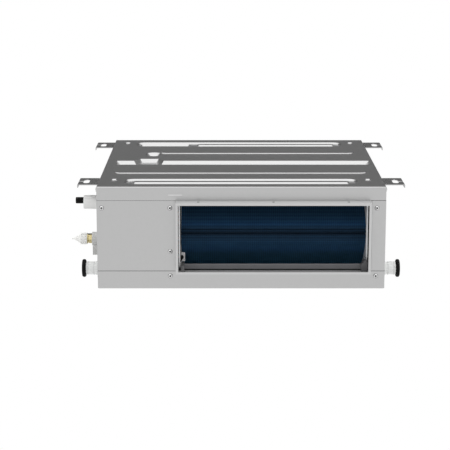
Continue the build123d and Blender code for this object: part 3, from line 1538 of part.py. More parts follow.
# Rubber rings on the motor bosses, the cradle they sit in and the straps over them
ring_places = [
    motor_x - motor_length / 2 - motor_boss + sheet,
    motor_x + motor_length / 2 + motor_boss - sheet - rubber_ring_width,
]
ring_radius = motor_boss_radius + rubber_ring_wall
with BuildPart() as motor_rubber_rings:
    for ring_x in ring_places:
        with BuildSketch(Plane.YZ.offset(ring_x)) as rubber_ring:
            with Locations((shaft_y, shaft_height)):
                Circle(ring_radius)
                Circle(motor_boss_radius, mode=Mode.SUBTRACT)
        extrude(rubber_ring.sketch, amount=rubber_ring_width)
motor_rubber_rings.part.label = "motor_rubber_rings"
export_step(motor_rubber_rings.part, "parts/motor_rubber_rings.step")

with BuildPart() as motor_cradle:
    with BuildSketch(Plane.XY.offset(sheet)) as cradle_base:
        with Locations((motor_x, shaft_y)):
            Rectangle(ring_places[1] + rubber_ring_width - ring_places[0], cradle_base_width)
    extrude(cradle_base.sketch, amount=cradle_foot)
    for ring_x in ring_places:
        with BuildSketch(Plane.YZ.offset(ring_x)) as upright:
            with BuildLine():
                Polyline(
                    (shaft_y - cradle_base_width / 2, sheet + cradle_foot),
                    (shaft_y + cradle_base_width / 2, sheet + cradle_foot),
                    (shaft_y + cradle_top_width / 2, shaft_height),
                    (shaft_y - cradle_top_width / 2, shaft_height),
                    close=True,
                )
            make_face()
            with Locations((shaft_y, shaft_height)):
                Circle(ring_radius, mode=Mode.SUBTRACT)
            with Locations((shaft_y, (sheet + cradle_foot + shaft_height - ring_radius) / 2)):
                Rectangle(cradle_window_width, cradle_window_height, mode=Mode.SUBTRACT)
        extrude(upright.sketch, amount=rubber_ring_width)
motor_cradle.part.label = "motor_cradle"
export_step(motor_cradle.part, "parts/motor_cradle.step")

with BuildPart() as motor_straps:
    for ring_x in ring_places:
        with BuildSketch(Plane.YZ.offset(ring_x)) as strap:
            with Locations((shaft_y, shaft_height)):
                Circle(ring_radius + strap_thickness)
                strap_width = 2 * (ring_radius + strap_foot)
                Rectangle(strap_width, strap_thickness, align=(Align.CENTER, Align.MIN))
                Circle(ring_radius, mode=Mode.SUBTRACT)
                Rectangle(strap_width, height, align=(Align.CENTER, Align.MAX), mode=Mode.SUBTRACT)
        extrude(strap.sketch, amount=rubber_ring_width)
motor_straps.part.label = "motor_straps"
export_step(motor_straps.part, "parts/motor_straps.step")

# Control box: a tray that opens to the left side, with a rim behind the side panel
box_mouth = left + sheet
box_bottom = box_mouth + box_depth
with BuildPart() as control_box:
    with BuildSketch(Plane.YZ.offset(box_mouth)) as box_outside:
        with Locations((box_y, box_z)):
            Rectangle(box_back - box_front + 2 * box_sheet, box_ceiling - box_floor + 2 * box_sheet)
    extrude(box_outside.sketch, amount=box_depth)
    with BuildSketch(Plane.YZ.offset(box_mouth)) as box_inside:
        with Locations((box_y, box_z)):
            Rectangle(box_back - box_front, box_ceiling - box_floor)
    extrude(box_inside.sketch, amount=box_depth - box_sheet, mode=Mode.SUBTRACT)
    with BuildSketch(Plane.YZ.offset(box_mouth)) as box_flange:
        with Locations((box_y, box_z)):
            rim_width = box_back - box_front + 2 * box_rim
            Rectangle(rim_width, box_ceiling - box_floor + 2 * box_rim)
            Rectangle(box_back - box_front, box_ceiling - box_floor, mode=Mode.SUBTRACT)
    extrude(box_flange.sketch, amount=box_sheet)
    with BuildSketch(Plane.XZ.offset(-front - box_front + box_sheet)) as wire_hole:
        with Locations((left + box_depth / 2, box_z)):
            Circle(gland_radius)
    extrude(wire_hole.sketch, amount=-2 * box_sheet, both=True, mode=Mode.SUBTRACT)
control_box.part.label = "control_box"
export_step(control_box.part, "parts/control_box.step")

with BuildPart() as control_cover:
    with BuildSketch(Plane.YZ.offset(left)) as cover_outline:
        with Locations((box_y, box_z)):
            cover_width = box_back - box_front + 2 * cover_lap
            RectangleRounded(cover_width, box_ceiling - box_floor + 2 * cover_lap, corner_radius)
    extrude(cover_outline.sketch, amount=-box_sheet)
    with BuildSketch(Plane.YZ.offset(left)) as cover_lip:
        with Locations((box_y, box_z)):
            lip_width = box_back - box_front - 2 * fit
            lip_height = box_ceiling - box_floor - 2 * fit
            Rectangle(lip_width, lip_height)
            Rectangle(lip_width - 2 * box_sheet, lip_height - 2 * box_sheet, mode=Mode.SUBTRACT)
    extrude(cover_lip.sketch, amount=box_rim)
control_cover.part.label = "control_cover"
export_step(control_cover.part, "parts/control_cover.step")

# Control board on its standoffs, with a terminal block, relays, a transformer and a smoothing capacitor
board_back = box_bottom - box_sheet - board_standoff
board_face = board_back - board_thickness
board_front_y = front + box_front + board_margin
board_back_y = front + box_back - 3 * board_margin - 2 * capacitor_radius
board_low = box_floor + board_margin
board_high = box_ceiling - board_margin
board_y = (board_front_y + board_back_y) / 2
board_z = (board_low + board_high) / 2
with BuildPart() as control_board:
    with BuildSketch(Plane.YZ.offset(board_face)) as board_outline:
        with Locations((board_y, board_z)):
            Rectangle(board_back_y - board_front_y, board_high - board_low)
    extrude(board_outline.sketch, amount=board_thickness)
    with BuildSketch(Plane.YZ.offset(board_back)) as standoffs:
        with Locations((board_y, board_z)):
            pillar_pitch_y = board_back_y - board_front_y - board_margin
            with GridLocations(pillar_pitch_y, board_high - board_low - board_margin, 2, 2):
                Circle(board_standoff / 3)
    extrude(standoffs.sketch, amount=board_standoff)
    for place_y, place_z, size_y, size_z, rise in board_blocks:
        with BuildSketch(Plane.YZ.offset(board_face)) as board_block:
            with Locations((board_front_y + place_y, board_low + place_z)):
                Rectangle(size_y, size_z, align=(Align.MIN, Align.MIN))
        extrude(board_block.sketch, amount=-rise)
    with BuildSketch(Plane.YZ.offset(board_face)) as smoothing:
        with Locations((board_back_y - board_margin * 2, board_high - board_margin * 2)):
            Circle(board_margin)
    extrude(smoothing.sketch, amount=-3 * board_margin)
control_board.part.label = "control_board"
export_step(control_board.part, "parts/control_board.step")

with BuildPart() as run_capacitor:
    with BuildSketch(Plane.XY.offset(box_z - capacitor_length / 2)):
        with Locations((box_bottom - box_sheet - capacitor_radius, board_back_y + board_margin + capacitor_radius)):
            Circle(capacitor_radius)
    extrude(amount=capacitor_length)
    fillet(run_capacitor.edges(), capacitor_radius / 6)
run_capacitor.part.label = "run_capacitor"
export_step(run_capacitor.part, "parts/run_capacitor.step")

# Cable glands through the left panel, ahead of the cover
with BuildPart() as cable_glands:
    for gland_y, gland_z in gland_places:
        gland_axis = Plane(origin=(left, gland_y, gland_z), z_dir=(-1, 0, 0))
        for plane, radius, length in (
            (gland_axis, gland_radius + 3 * sheet, gland_reach / 2),
            (gland_axis.offset(-sheet), gland_radius + 3 * sheet, -gland_reach / 2),
        ):
            with BuildSketch(plane) as gland_nut:
                RegularPolygon(radius, 6)
            extrude(gland_nut.sketch, amount=length)
        with BuildSketch(gland_axis.offset(-gland_reach)) as gland_body:
            Circle(gland_radius - sheet)
            Circle(gland_radius / 2, mode=Mode.SUBTRACT)
        with BuildSketch(gland_axis.offset(-gland_reach)) as gland_bore:
            Circle(gland_radius / 2)
        extrude(gland_body.sketch, amount=2 * gland_reach)
        extrude(gland_bore.sketch, amount=2 * gland_reach, mode=Mode.SUBTRACT)
cable_glands.part.label = "cable_glands"
export_step(cable_glands.part, "parts/cable_glands.step")

# Filter rails outside the rear panel: two channels and a stop at the closed end
filter_left = return_left - filter_border
filter_right = return_right + filter_border
filter_low = return_floor - filter_border
filter_high = return_ceiling + filter_border
filter_x = (filter_left + filter_right) / 2
filter_z = (filter_low + filter_high) / 2
filter_front = rear + rail_wall + fit
filter_back = filter_front + filter_thickness
rail_low = filter_low - fit - rail_wall
rail_high = filter_high + fit + rail_wall
rail_left = filter_left - fit - rail_wall
with BuildPart() as filter_rails:
    with BuildSketch(Plane.XZ.offset(-rear)) as rail_block:
        with Locations(((rail_left + filter_right) / 2, filter_z)):
            Rectangle(filter_right - rail_left, rail_high - rail_low)
        with Locations((filter_right, filter_z)):
            window = (filter_right - filter_left - rail_lap, filter_high - filter_low - 2 * rail_lap)
            Rectangle(*window, align=(Align.MAX, Align.CENTER), mode=Mode.SUBTRACT)
    extrude(rail_block.sketch, amount=-(filter_thickness + 2 * (rail_wall + fit)))
    with BuildSketch(Plane.XZ.offset(-rear - rail_wall)) as rail_groove:
        with Locations((filter_left - fit, filter_z)):
            groove_height = filter_high - filter_low + 2 * fit
            Rectangle(width, groove_height, align=(Align.MIN, Align.CENTER))
    extrude(rail_groove.sketch, amount=-(filter_thickness + 2 * fit), mode=Mode.SUBTRACT)
filter_rails.part.label = "filter_rails"
export_step(filter_rails.part, "parts/filter_rails.step")

# Return filter: a frame with crossing bars and a pull tab, and its mesh
cell_width = return_width / filter_columns
cell_height = return_height / filter_rows
with BuildPart() as filter_frame:
    with BuildSketch(Plane.XZ.offset(-filter_front)) as frame_outline:
        with Locations((filter_x, filter_z)):
            Rectangle(filter_right - filter_left, filter_high - filter_low)
            Rectangle(return_width, return_height, mode=Mode.SUBTRACT)
    extrude(frame_outline.sketch, amount=-filter_thickness)
    with BuildSketch(Plane.XZ.offset(-filter_front - filter_thickness / 2)) as bars:
        with Locations((filter_x, filter_z)):
            with GridLocations(cell_width, 1, filter_columns - 1, 1):
                Rectangle(filter_bar, return_height)
            with GridLocations(1, cell_height, 1, filter_rows - 1):
                Rectangle(return_width, filter_bar)
    extrude(bars.sketch, amount=-filter_thickness / 2)
    with BuildSketch(Plane.XZ.offset(-filter_front - filter_thickness / 2)) as pull_tab:
        with Locations((filter_right, filter_z)):
            Rectangle(filter_border, 4 * filter_border, align=(Align.MIN, Align.CENTER))
    extrude(pull_tab.sketch, amount=-filter_thickness / 4)
filter_frame.part.label = "filter_frame"
export_step(filter_frame.part, "parts/filter_frame.step")

with BuildPart() as filter_mesh:
    with BuildSketch(Plane.XZ.offset(-filter_front - filter_thickness / 2)) as mesh_outline:
        with Locations((filter_x, filter_z)):
            Rectangle(return_width, return_height)
    extrude(mesh_outline.sketch, amount=mesh_thickness)
filter_mesh.part.label = "filter_mesh"
export_step(filter_mesh.part, "parts/filter_mesh.step")
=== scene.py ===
import json
import math

import bmesh
import bpy
from mathutils import Matrix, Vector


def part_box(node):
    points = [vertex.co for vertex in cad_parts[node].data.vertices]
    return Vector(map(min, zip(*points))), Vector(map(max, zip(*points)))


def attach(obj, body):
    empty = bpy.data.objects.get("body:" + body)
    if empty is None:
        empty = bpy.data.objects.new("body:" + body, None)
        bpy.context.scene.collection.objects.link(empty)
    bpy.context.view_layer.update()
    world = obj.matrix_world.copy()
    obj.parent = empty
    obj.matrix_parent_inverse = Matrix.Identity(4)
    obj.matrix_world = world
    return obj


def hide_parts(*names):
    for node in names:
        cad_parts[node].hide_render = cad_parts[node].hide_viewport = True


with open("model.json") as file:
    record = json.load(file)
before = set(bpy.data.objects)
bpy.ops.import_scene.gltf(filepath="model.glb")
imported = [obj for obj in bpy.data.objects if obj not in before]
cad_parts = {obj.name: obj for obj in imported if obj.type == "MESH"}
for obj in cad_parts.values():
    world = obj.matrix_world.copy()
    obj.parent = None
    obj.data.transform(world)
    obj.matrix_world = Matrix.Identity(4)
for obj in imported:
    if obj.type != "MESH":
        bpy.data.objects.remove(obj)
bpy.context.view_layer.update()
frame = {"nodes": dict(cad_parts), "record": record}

nodes = frame["nodes"]
scene = bpy.context.scene

# Sizes of the unit that the pieces below share, in metres
case_half = 0.350
bracket_sheet = 0.002
nose_y = -0.285
nose_z = 0.130
nose_radius = 0.040
slab_thickness = 0.036
slab_lean = 50.0
seam_angles = (3.2, 18.5)
seam_half = 1.2
coil_floor = 0.030
coil_ceiling = 0.2382
collar_left = -0.1585
collar_right = 0.3127
collar_top = 0.2190
collar_floor = 0.0455
plate_face = -0.3381


# Camera at the photograph's place
camera_data = bpy.data.cameras.new("camera")
camera_data.sensor_width = 36.0
camera_data.lens = 122.22
camera_data.clip_end = 200.0
camera = bpy.data.objects.new("camera", camera_data)
camera.location = (-0.0394, -3.9622, 0.9563)
camera.rotation_euler = (math.radians(90.0 - 12.447), 0.0, 0.0)
scene.collection.objects.link(camera)
scene.camera = camera
scene.view_settings.view_transform = "Standard"


# Parts of materials
def material(name):
    made = bpy.data.materials.new(name)
    made.use_nodes = True
    tree = made.node_tree
    return made, tree, tree.nodes["Principled BSDF"]


def place_coordinates(tree, scale=(1.0, 1.0, 1.0)):
    coordinates = tree.nodes.new("ShaderNodeTexCoord")
    mapping = tree.nodes.new("ShaderNodeMapping")
    mapping.inputs["Scale"].default_value = scale
    tree.links.new(coordinates.outputs["Object"], mapping.inputs["Vector"])
    return mapping.outputs["Vector"]


def noise(tree, vector, scale, detail=3.0, roughness=0.55):
    texture = tree.nodes.new("ShaderNodeTexNoise")
    texture.inputs["Scale"].default_value = scale
    texture.inputs["Detail"].default_value = detail
    texture.inputs["Roughness"].default_value = roughness
    tree.links.new(vector, texture.inputs["Vector"])
    return texture.outputs["Fac"]


def waves(tree, vector, axis, period):
    texture = tree.nodes.new("ShaderNodeTexWave")
    texture.wave_type = "BANDS"
    texture.bands_direction = axis
    texture.inputs["Scale"].default_value = 2.0 * math.pi / (20.0 * period)
    tree.links.new(vector, texture.inputs["Vector"])
    return texture.outputs["Fac"]


def cells(tree, vector, scale):
    texture = tree.nodes.new("ShaderNodeTexVoronoi")
    texture.inputs["Scale"].default_value = scale
    tree.links.new(vector, texture.inputs["Vector"])
    return texture


def ranged(tree, value, low, high, start=0.3, end=0.7, soft=False):
    remap = tree.nodes.new("ShaderNodeMapRange")
    if soft:
        remap.interpolation_type = "SMOOTHSTEP"
    remap.inputs["From Min"].default_value = start
    remap.inputs["From Max"].default_value = end
    remap.inputs["To Min"].default_value = low
    remap.inputs["To Max"].default_value = high
    tree.links.new(value, remap.inputs["Value"])
    return remap.outputs["Result"]


def ramp(tree, value, stops):
    node = tree.nodes.new("ShaderNodeValToRGB")
    elements = node.color_ramp.elements
    elements[0].position, elements[0].color = stops[0][0], (*stops[0][1], 1.0)
    elements[1].position, elements[1].color = stops[-1][0], (*stops[-1][1], 1.0)
    for position, colour in stops[1:-1]:
        elements.new(position).color = (*colour, 1.0)
    tree.links.new(value, node.inputs["Fac"])
    return node.outputs["Color"]


def multiplied(tree, first, second):
    node = tree.nodes.new("ShaderNodeMix")
    node.data_type = "RGBA"
    node.blend_type = "MULTIPLY"
    node.inputs["Factor"].default_value = 1.0
    tree.links.new(first, node.inputs["A"])
    tree.links.new(second, node.inputs["B"])
    return node.outputs["Result"]


def towards(tree, factor, first, value):
    node = tree.nodes.new("ShaderNodeMix")
    node.data_type = "FLOAT"
    node.inputs["B"].default_value = value
    tree.links.new(factor, node.inputs["Factor"])
    tree.links.new(first, node.inputs["A"])
    return node.outputs["Result"]


def bump(tree, shader, height, strength, distance):
    node = tree.nodes.new("ShaderNodeBump")
    node.inputs["Strength"].default_value = strength
    node.inputs["Distance"].default_value = distance
    tree.links.new(height, node.inputs["Height"])
    tree.links.new(node.outputs["Normal"], shader.inputs["Normal"])


def shade(colour, factor):
    return tuple(channel * factor for channel in colour)


# Materials
def galvanised(name, colour=(0.49, 0.49, 0.49), roughness=0.28, contrast=0.006, metal=1.0):
    made, tree, shader = material(name)
    shader.inputs["Metallic"].default_value = metal
    vector = place_coordinates(tree)
    crystals = cells(tree, vector, 140.0)
    split = tree.nodes.new("ShaderNodeSeparateColor")
    tree.links.new(crystals.outputs["Color"], split.inputs["Color"])
    stops = [(0.0, shade(colour, 1.0 - contrast)), (1.0, shade(colour, 1.0 + contrast))]
    spangle = ramp(tree, split.outputs["Red"], stops)
    tree.links.new(spangle, shader.inputs["Base Color"])
    mottle = ranged(tree, noise(tree, vector, 60.0, 4.0), roughness - 0.005, roughness + 0.008)
    tree.links.new(mottle, shader.inputs["Roughness"])
    bump(tree, shader, noise(tree, vector, 1400.0, 2.0), 0.012, 0.0003)
    return made


def plastic(name, colour, roughness=0.45, grain=0.05, subsurface=0.0, vary=0.06):
    made, tree, shader = material(name)
    vector = place_coordinates(tree)
    cloud = noise(tree, vector, 35.0, 3.0)
    stops = [(0.3, shade(colour, 1.0 - vary)), (0.7, shade(colour, 1.0 + vary * 0.5))]
    tree.links.new(ramp(tree, cloud, stops), shader.inputs["Base Color"])
    wear = ranged(tree, cloud, roughness - 0.05, roughness + 0.06)
    tree.links.new(wear, shader.inputs["Roughness"])
    shader.inputs["Subsurface Weight"].default_value = subsurface
    shader.inputs["Subsurface Radius"].default_value = (0.004, 0.004, 0.004)
    bump(tree, shader, noise(tree, vector, 2200.0, 2.0), grain, 0.0003)
    return made


def rubber(name, colour=(0.004, 0.004, 0.004)):
    made, tree, shader = material(name)
    vector = place_coordinates(tree)
    dust = noise(tree, vector, 90.0, 5.0)
    tint = ramp(tree, dust, [(0.35, colour), (0.75, shade(colour, 1.9))])
    tree.links.new(tint, shader.inputs["Base Color"])
    tree.links.new(ranged(tree, dust, 0.50, 0.68), shader.inputs["Roughness"])
    shader.inputs["Specular IOR Level"].default_value = 0.08
    bump(tree, shader, noise(tree, vector, 3000.0, 2.0), 0.12, 0.0002)
    return made


def turned_metal(name, colour, roughness=0.22, stretch=(1200.0, 60.0, 60.0)):
    made, tree, shader = material(name)
    shader.inputs["Metallic"].default_value = 1.0
    lines = noise(tree, place_coordinates(tree, stretch), 1.0, 2.0)
    cloud = noise(tree, place_coordinates(tree), 80.0, 3.0)
    tint = ramp(tree, cloud, [(0.3, shade(colour, 0.86)), (0.7, colour)])
    tree.links.new(tint, shader.inputs["Base Color"])
    wear = ranged(tree, lines, roughness - 0.06, roughness + 0.08)
    tree.links.new(wear, shader.inputs["Roughness"])
    bump(tree, shader, lines, 0.05, 0.0002)
    return made


def foam(name, colour=(0.035, 0.035, 0.035)):
    made, tree, shader = material(name)
    pores = cells(tree, place_coordinates(tree), 700.0).outputs["Distance"]
    tint = ramp(tree, pores, [(0.05, shade(colour, 0.5)), (0.5, shade(colour, 1.4))])
    tree.links.new(tint, shader.inputs["Base Color"])
    shader.inputs["Roughness"].default_value = 0.9
    bump(tree, shader, pores, 0.5, 0.0006)
    return made


# Blue of the fins, with painted light and shade by height from the foot of the coil to its head:
# lightest at the foot, a painted dark band at the nose, lighter again towards the head
film_blue = (0.0162, 0.049, 0.098)
painted_light_heights = (0.05, 0.22)
painted_light_stops = [
    (0.0, (0.095, 0.280, 0.440)),
    (0.12, (0.062, 0.180, 0.310)),
    (0.20, (0.054, 0.158, 0.325)),
    (0.26, shade(film_blue, 2.8)),
    (0.31, shade(film_blue, 2.0)),
    (0.36, shade(film_blue, 1.45)),
    (0.42, shade(film_blue, 0.82)),
    (0.445, shade(film_blue, 0.90)),
    (0.468, shade(film_blue, 0.42)),
    (0.495, shade(film_blue, 0.38)),
    (0.515, shade(film_blue, 0.58)),
    (0.54, shade(film_blue, 0.84)),
    (0.57, shade(film_blue, 1.15)),
    (0.61, (0.0245, 0.0870, 0.1960)),
    (0.64, (0.0290, 0.0960, 0.2060)),
    (0.68, shade(film_blue, 2.0)),
    (0.73, shade(film_blue, 1.75)),
    (1.0, shade(film_blue, 1.75)),
]
comb_periods = (("X", 0.0047), ("Z", 0.0071))
comb_stops = [(0.0, (0.80, 0.82, 0.84)), (1.0, (1.20, 1.18, 1.16))]
patch_stops = [(0.3, (0.86, 0.88, 0.90)), (0.7, (1.0, 1.0, 1.0))]


def fins_with_painted_light(name):
    made, tree, shader = material(name)
    vector = place_coordinates(tree)
    split = tree.nodes.new("ShaderNodeSeparateXYZ")
    tree.links.new(vector, split.inputs["Vector"])
    # Painted light and shade by height, then the comb pattern and patches of tone
    blue_with_painted_light = ramp(tree, ranged(tree, split.outputs["Z"], 0.0, 1.0, *painted_light_heights), painted_light_stops)
    for axis, period in comb_periods:
        teeth = ramp(tree, waves(tree, vector, axis, period), comb_stops)
        blue_with_painted_light = multiplied(tree, blue_with_painted_light, teeth)
    patches = ramp(tree, noise(tree, vector, 28.0, 3.0), patch_stops)
    tree.links.new(multiplied(tree, blue_with_painted_light, patches), shader.inputs["Base Color"])
    shader.inputs["Specular IOR Level"].default_value = 0.1
    waffle = noise(tree, place_coordinates(tree, (60.0, 300.0, 300.0)), 1.0, 2.0)
    tree.links.new(ranged(tree, waffle, 0.60, 0.75), shader.inputs["Roughness"])
    bump(tree, shader, waffle, 0.15, 0.0004)
    return made


looks = {
    "galvanised": galvanised("galvanised"),
    "bracket_steel": galvanised("bracket_steel", (0.46, 0.46, 0.46), 0.25),
    "collar_steel": galvanised("collar_steel", (0.52, 0.52, 0.52), 0.42, 0.006, 0.45),
    "zinc_screws": turned_metal("zinc_screws", (0.74, 0.74, 0.74), 0.18),
    # Dark material for the screws' recesses and the ring under their heads: painted shade
    "screw_painted_shade": rubber("screw_painted_shade", (0.02, 0.02, 0.02)),
    "insulation_foam": foam("insulation_foam"),
    "pan_plastic": plastic("pan_plastic", (0.115, 0.115, 0.12), 0.42),
    "clip_plastic": plastic("clip_plastic", (0.085, 0.085, 0.088), 0.4),
    "spigot_plastic": plastic("spigot_plastic", (0.78, 0.79, 0.78), 0.28, 0.02, 0.25, 0.03),
    "black_rubber": rubber("black_rubber"),
    "blue_fins": fins_with_painted_light("blue_fins"),
    # The coil's end plates: a paler copy of the steel, painted light on their front flanges in the
    # collar's shade; the tab: a darker copy, painted shade
    "coil_plate_steel": galvanised("coil_plate_steel", (0.93, 0.93, 0.93), 0.40, 0.006, 0.6),
    "shaded_tab_steel": galvanised("shaded_tab_steel", (0.36, 0.36, 0.36), 0.35, 0.01, 0.7),
    "copper": turned_metal("copper", (0.78, 0.36, 0.20), 0.25, (60.0, 900.0, 900.0)),
    "brass": turned_metal("brass", (0.60, 0.51, 0.27), 0.34),
    "cap_white": plastic("cap_white", (0.80, 0.80, 0.78), 0.4, 0.04, 0.15, 0.03),
    "cap_black": rubber("cap_black", (0.006, 0.006, 0.006)),
    "plate_grey": plastic("plate_grey", (0.58, 0.58, 0.57), 0.5),
    "pump_white": plastic("pump_white", (0.80, 0.80, 0.79), 0.32, 0.02, 0.15, 0.03),
    "riser_hose": plastic("riser_hose", (0.62, 0.62, 0.58), 0.5),
    "stem_plastic": plastic("stem_plastic", (0.55, 0.55, 0.55), 0.45),
    "scroll_plastic": plastic("scroll_plastic", (0.05, 0.05, 0.052), 0.5, 0.1),
    "wheel_plastic": plastic("wheel_plastic", (0.55, 0.55, 0.52), 0.45),
    "motor_paint": plastic("motor_paint", (0.07, 0.07, 0.075), 0.35, 0.12),
    "shaft_steel": turned_metal("shaft_steel", (0.6, 0.6, 0.6), 0.18),
    "board_green": plastic("board_green", (0.02, 0.13, 0.04), 0.35, 0.02),
    "capacitor_shell": plastic("capacitor_shell", (0.75, 0.75, 0.75), 0.3, 0.02),
    "gland_plastic": plastic("gland_plastic", (0.03, 0.03, 0.03), 0.45),
    "rail_steel": galvanised("rail_steel", (0.5, 0.5, 0.5), 0.28),
    "filter_plastic": plastic("filter_plastic", (0.05, 0.05, 0.055), 0.5, 0.1),
    "filter_net": plastic("filter_net", (0.03, 0.03, 0.034), 0.6),
}
slots = {part["node"]: part["material_slot"] for part in frame["record"]["subparts"]}


def dress(piece, look):
    piece.data.materials.clear()
    piece.data.materials.append(look)


for node, piece in nodes.items():
    dress(piece, looks[slots[node]])
dress(nodes["outlet_collar"], looks["collar_steel"])


# Mesh helpers
def add_piece(name, mesh, body, slot, *replaced):
    piece = bpy.data.objects.new(name, mesh)
    scene.collection.objects.link(piece)
    dress(piece, looks[slot])
    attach(piece, body)
    if replaced:
        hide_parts(*replaced)
    return piece


def finish_mesh(made, name):
    bmesh.ops.recalc_face_normals(made, faces=made.faces)
    mesh = bpy.data.meshes.new(name)
    made.to_mesh(mesh)
    made.free()
    return mesh


def smooth(mesh, angle):
    mesh.polygons.foreach_set("use_smooth", [True] * len(mesh.polygons))
    mesh.set_sharp_from_angle(angle=math.radians(angle))


def prism(made, first, second):
    """Close the space between two outlines that have the same number of points."""
    start = [made.verts.new(point) for point in first]
    end = [made.verts.new(point) for point in second]
    count = len(first)
    for index in range(count):
        after = (index + 1) % count
        made.faces.new((start[index], start[after], end[after], end[index]))
    made.faces.new(start)
    made.faces.new(end)


def prism_along_x(made, profile, x0, x1):
    prism(made, [(x0, y, z) for y, z in profile], [(x1, y, z) for y, z in profile])


def prism_along_y(made, outline, y0, y1):
    prism(made, [(x, y0, z) for x, z in outline], [(x, y1, z) for x, z in outline])


def block(made, low, high):
    (x0, y0, z0), (x1, y1, z1) = low, high
    prism_along_x(made, [(y0, z0), (y1, z0), (y1, z1), (y0, z1)], x0, x1)


def skin(made, rings, count):
    """Join rings of vertices, the last to the first; a ring of one vertex is a point."""
    for first, second in zip(rings, rings[1:] + rings[:1]):
        if len(first) == 1 and len(second) == 1:
            continue
        for index in range(count):
            after = (index + 1) % count
            corners = [first[index % len(first)], first[after % len(first)]]
            corners += [second[after % len(second)], second[index % len(second)]]
            made.faces.new(list(dict.fromkeys(corners)))


def circle(count):
    turns = [2.0 * math.pi * index / count for index in range(count)]
    return [(turn, math.cos(turn), math.sin(turn)) for turn in turns]


def lathe(made, profile, centre, count, swell=None):
    """Turn a closed profile of (x, radius) points about a line along X through (y, z)."""
    rings = []
    for x, radius in profile:
        if radius < 1e-6:
            rings.append([made.verts.new((x, *centre))])
            continue
        ring = []
        for turn, across, up in circle(count):
            reach = radius + (swell(x, turn) if swell else 0.0)
            ring.append(made.verts.new((x, centre[0] + reach * across, centre[1] + reach * up)))
        rings.append(ring)
    skin(made, rings, count)


# Coil slabs: a dark core with fine fins that stand proud of it
def nose_point(radius, angle):
    turn = math.radians(angle)
    return (nose_y - radius * math.cos(turn), nose_z + radius * math.sin(turn))


def nose_arc(radius, first, last, steps):
    return [nose_point(radius, first + (last - first) * step / steps) for step in range(steps + 1)]


def slab_profile(tilt, start, run, outer, inner, trim):
    turn = math.radians(abs(tilt))
    rise = math.cos(turn) * (1 if tilt > 0 else -1)
    back = math.sin(turn)
    far = run - trim
    points = nose_arc(outer, start, tilt, nose_steps)
    for radius in (outer, inner):
        y, z = nose_point(radius, tilt)
        points.append((y + far * back, z + far * rise))
    return points + nose_arc(inner, start, tilt, nose_steps)[::-1]


def band_profile(outer, inner):
    first = seam_angles[0] + seam_half
    last = seam_angles[1] - seam_half
    inside = nose_arc(inner, first, last, band_steps)
    return nose_arc(outer, first, last, band_steps) + inside[::-1]


nose_steps = 10
band_steps = 4
fin_pitch = 0.0022
fin_thickness = 0.0004
groove = 0.0025
core_trim = 0.0006
inner_radius = nose_radius - slab_thickness
fin_low, fin_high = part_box("coil_fins_upper")
fin_travel = fin_high.x - fin_low.x - fin_thickness
fin_count = int(fin_travel / fin_pitch)
core_ends = (fin_low.x + fin_thickness, fin_high.x - fin_thickness)
slope = math.cos(math.radians(slab_lean))
upper_run = (coil_ceiling - nose_point(nose_radius, slab_lean)[1]) / slope
lower_run = (nose_point(nose_radius, -slab_lean)[1] - coil_floor) / slope
slab_cases = (
    ("upper", slab_lean, seam_angles[1] + seam_half, upper_run),
    ("lower", -slab_lean, seam_angles[0] - seam_half, lower_run),
)
for name, tilt, start, run in slab_cases:
    made = bmesh.new()
    core_radii = (nose_radius - groove, inner_radius + groove)
    cores = [slab_profile(tilt, start, run, *core_radii, core_trim)]
    fins = [slab_profile(tilt, start, run, nose_radius, inner_radius, 0.0)]
    if name == "upper":
        cores.append(band_profile(*core_radii))
        fins.append(band_profile(nose_radius, inner_radius))
    for core in cores:
        prism_along_x(made, core, *core_ends)
    for index in range(fin_count + 1):
        x = fin_low.x + index * fin_travel / fin_count
        for fin in fins:
            prism_along_x(made, fin, x, x + fin_thickness)
    comb_name = f"coil_comb_{name}"
    add_piece(comb_name, finish_mesh(made, comb_name), "casing", "blue_fins", f"coil_fins_{name}")


# Pan-head screw with a crossed recess in a dark material of painted shade, and a dark ring of painted
# shadow round the foot of its head
head_radius = 0.0053
head_height = 0.0026
head_edge = 0.0006
crown_share = 0.42
shank_radius = 0.002
shank_length = 0.0036
recess_depth = 0.0018
recess_reach = 0.0030
recess_half = 0.0009
shadow_ring_width = 0.0005
shadow_ring_inside = 0.0050

screw_profile = [(-shank_length, 0.0), (-shank_length, shank_radius * 0.7)]
screw_profile += [(-shank_length + head_edge, shank_radius), (0.0, shank_radius)]
screw_profile += [(0.0, head_radius), (head_edge, head_radius)]
for step in range(1, 7):
    turn = math.radians(90.0 * step / 6.0)
    along = head_edge + (head_height - head_edge) * math.sin(turn)
    across = crown_share + (1.0 - crown_share) * math.cos(turn)
    screw_profile.append((along, head_radius * across))
screw_profile.append((head_height, 0.0))
made = bmesh.new()
lathe(made, screw_profile, (0.0, 0.0), 32)
bmesh.ops.remove_doubles(made, verts=made.verts, dist=1e-7)
screw_mesh = finish_mesh(made, "screw_blank")
spare_meshes = [screw_mesh]
for half_y, half_z in ((recess_reach, recess_half), (recess_half, recess_reach)):
    made = bmesh.new()
    low_corner = (head_height - recess_depth, -half_y, -half_z)
    block(made, low_corner, (head_height + 0.001, half_y, half_z))
    spare_meshes.append(finish_mesh(made, "screw_cutter"))
spares = []
for mesh in spare_meshes:
    mesh.materials.append(looks["zinc_screws"])
    mesh.materials.append(looks["screw_painted_shade"])
    spares.append(bpy.data.objects.new(mesh.name, mesh))
    scene.collection.objects.link(spares[-1])
screw_blank, *cutters = spares
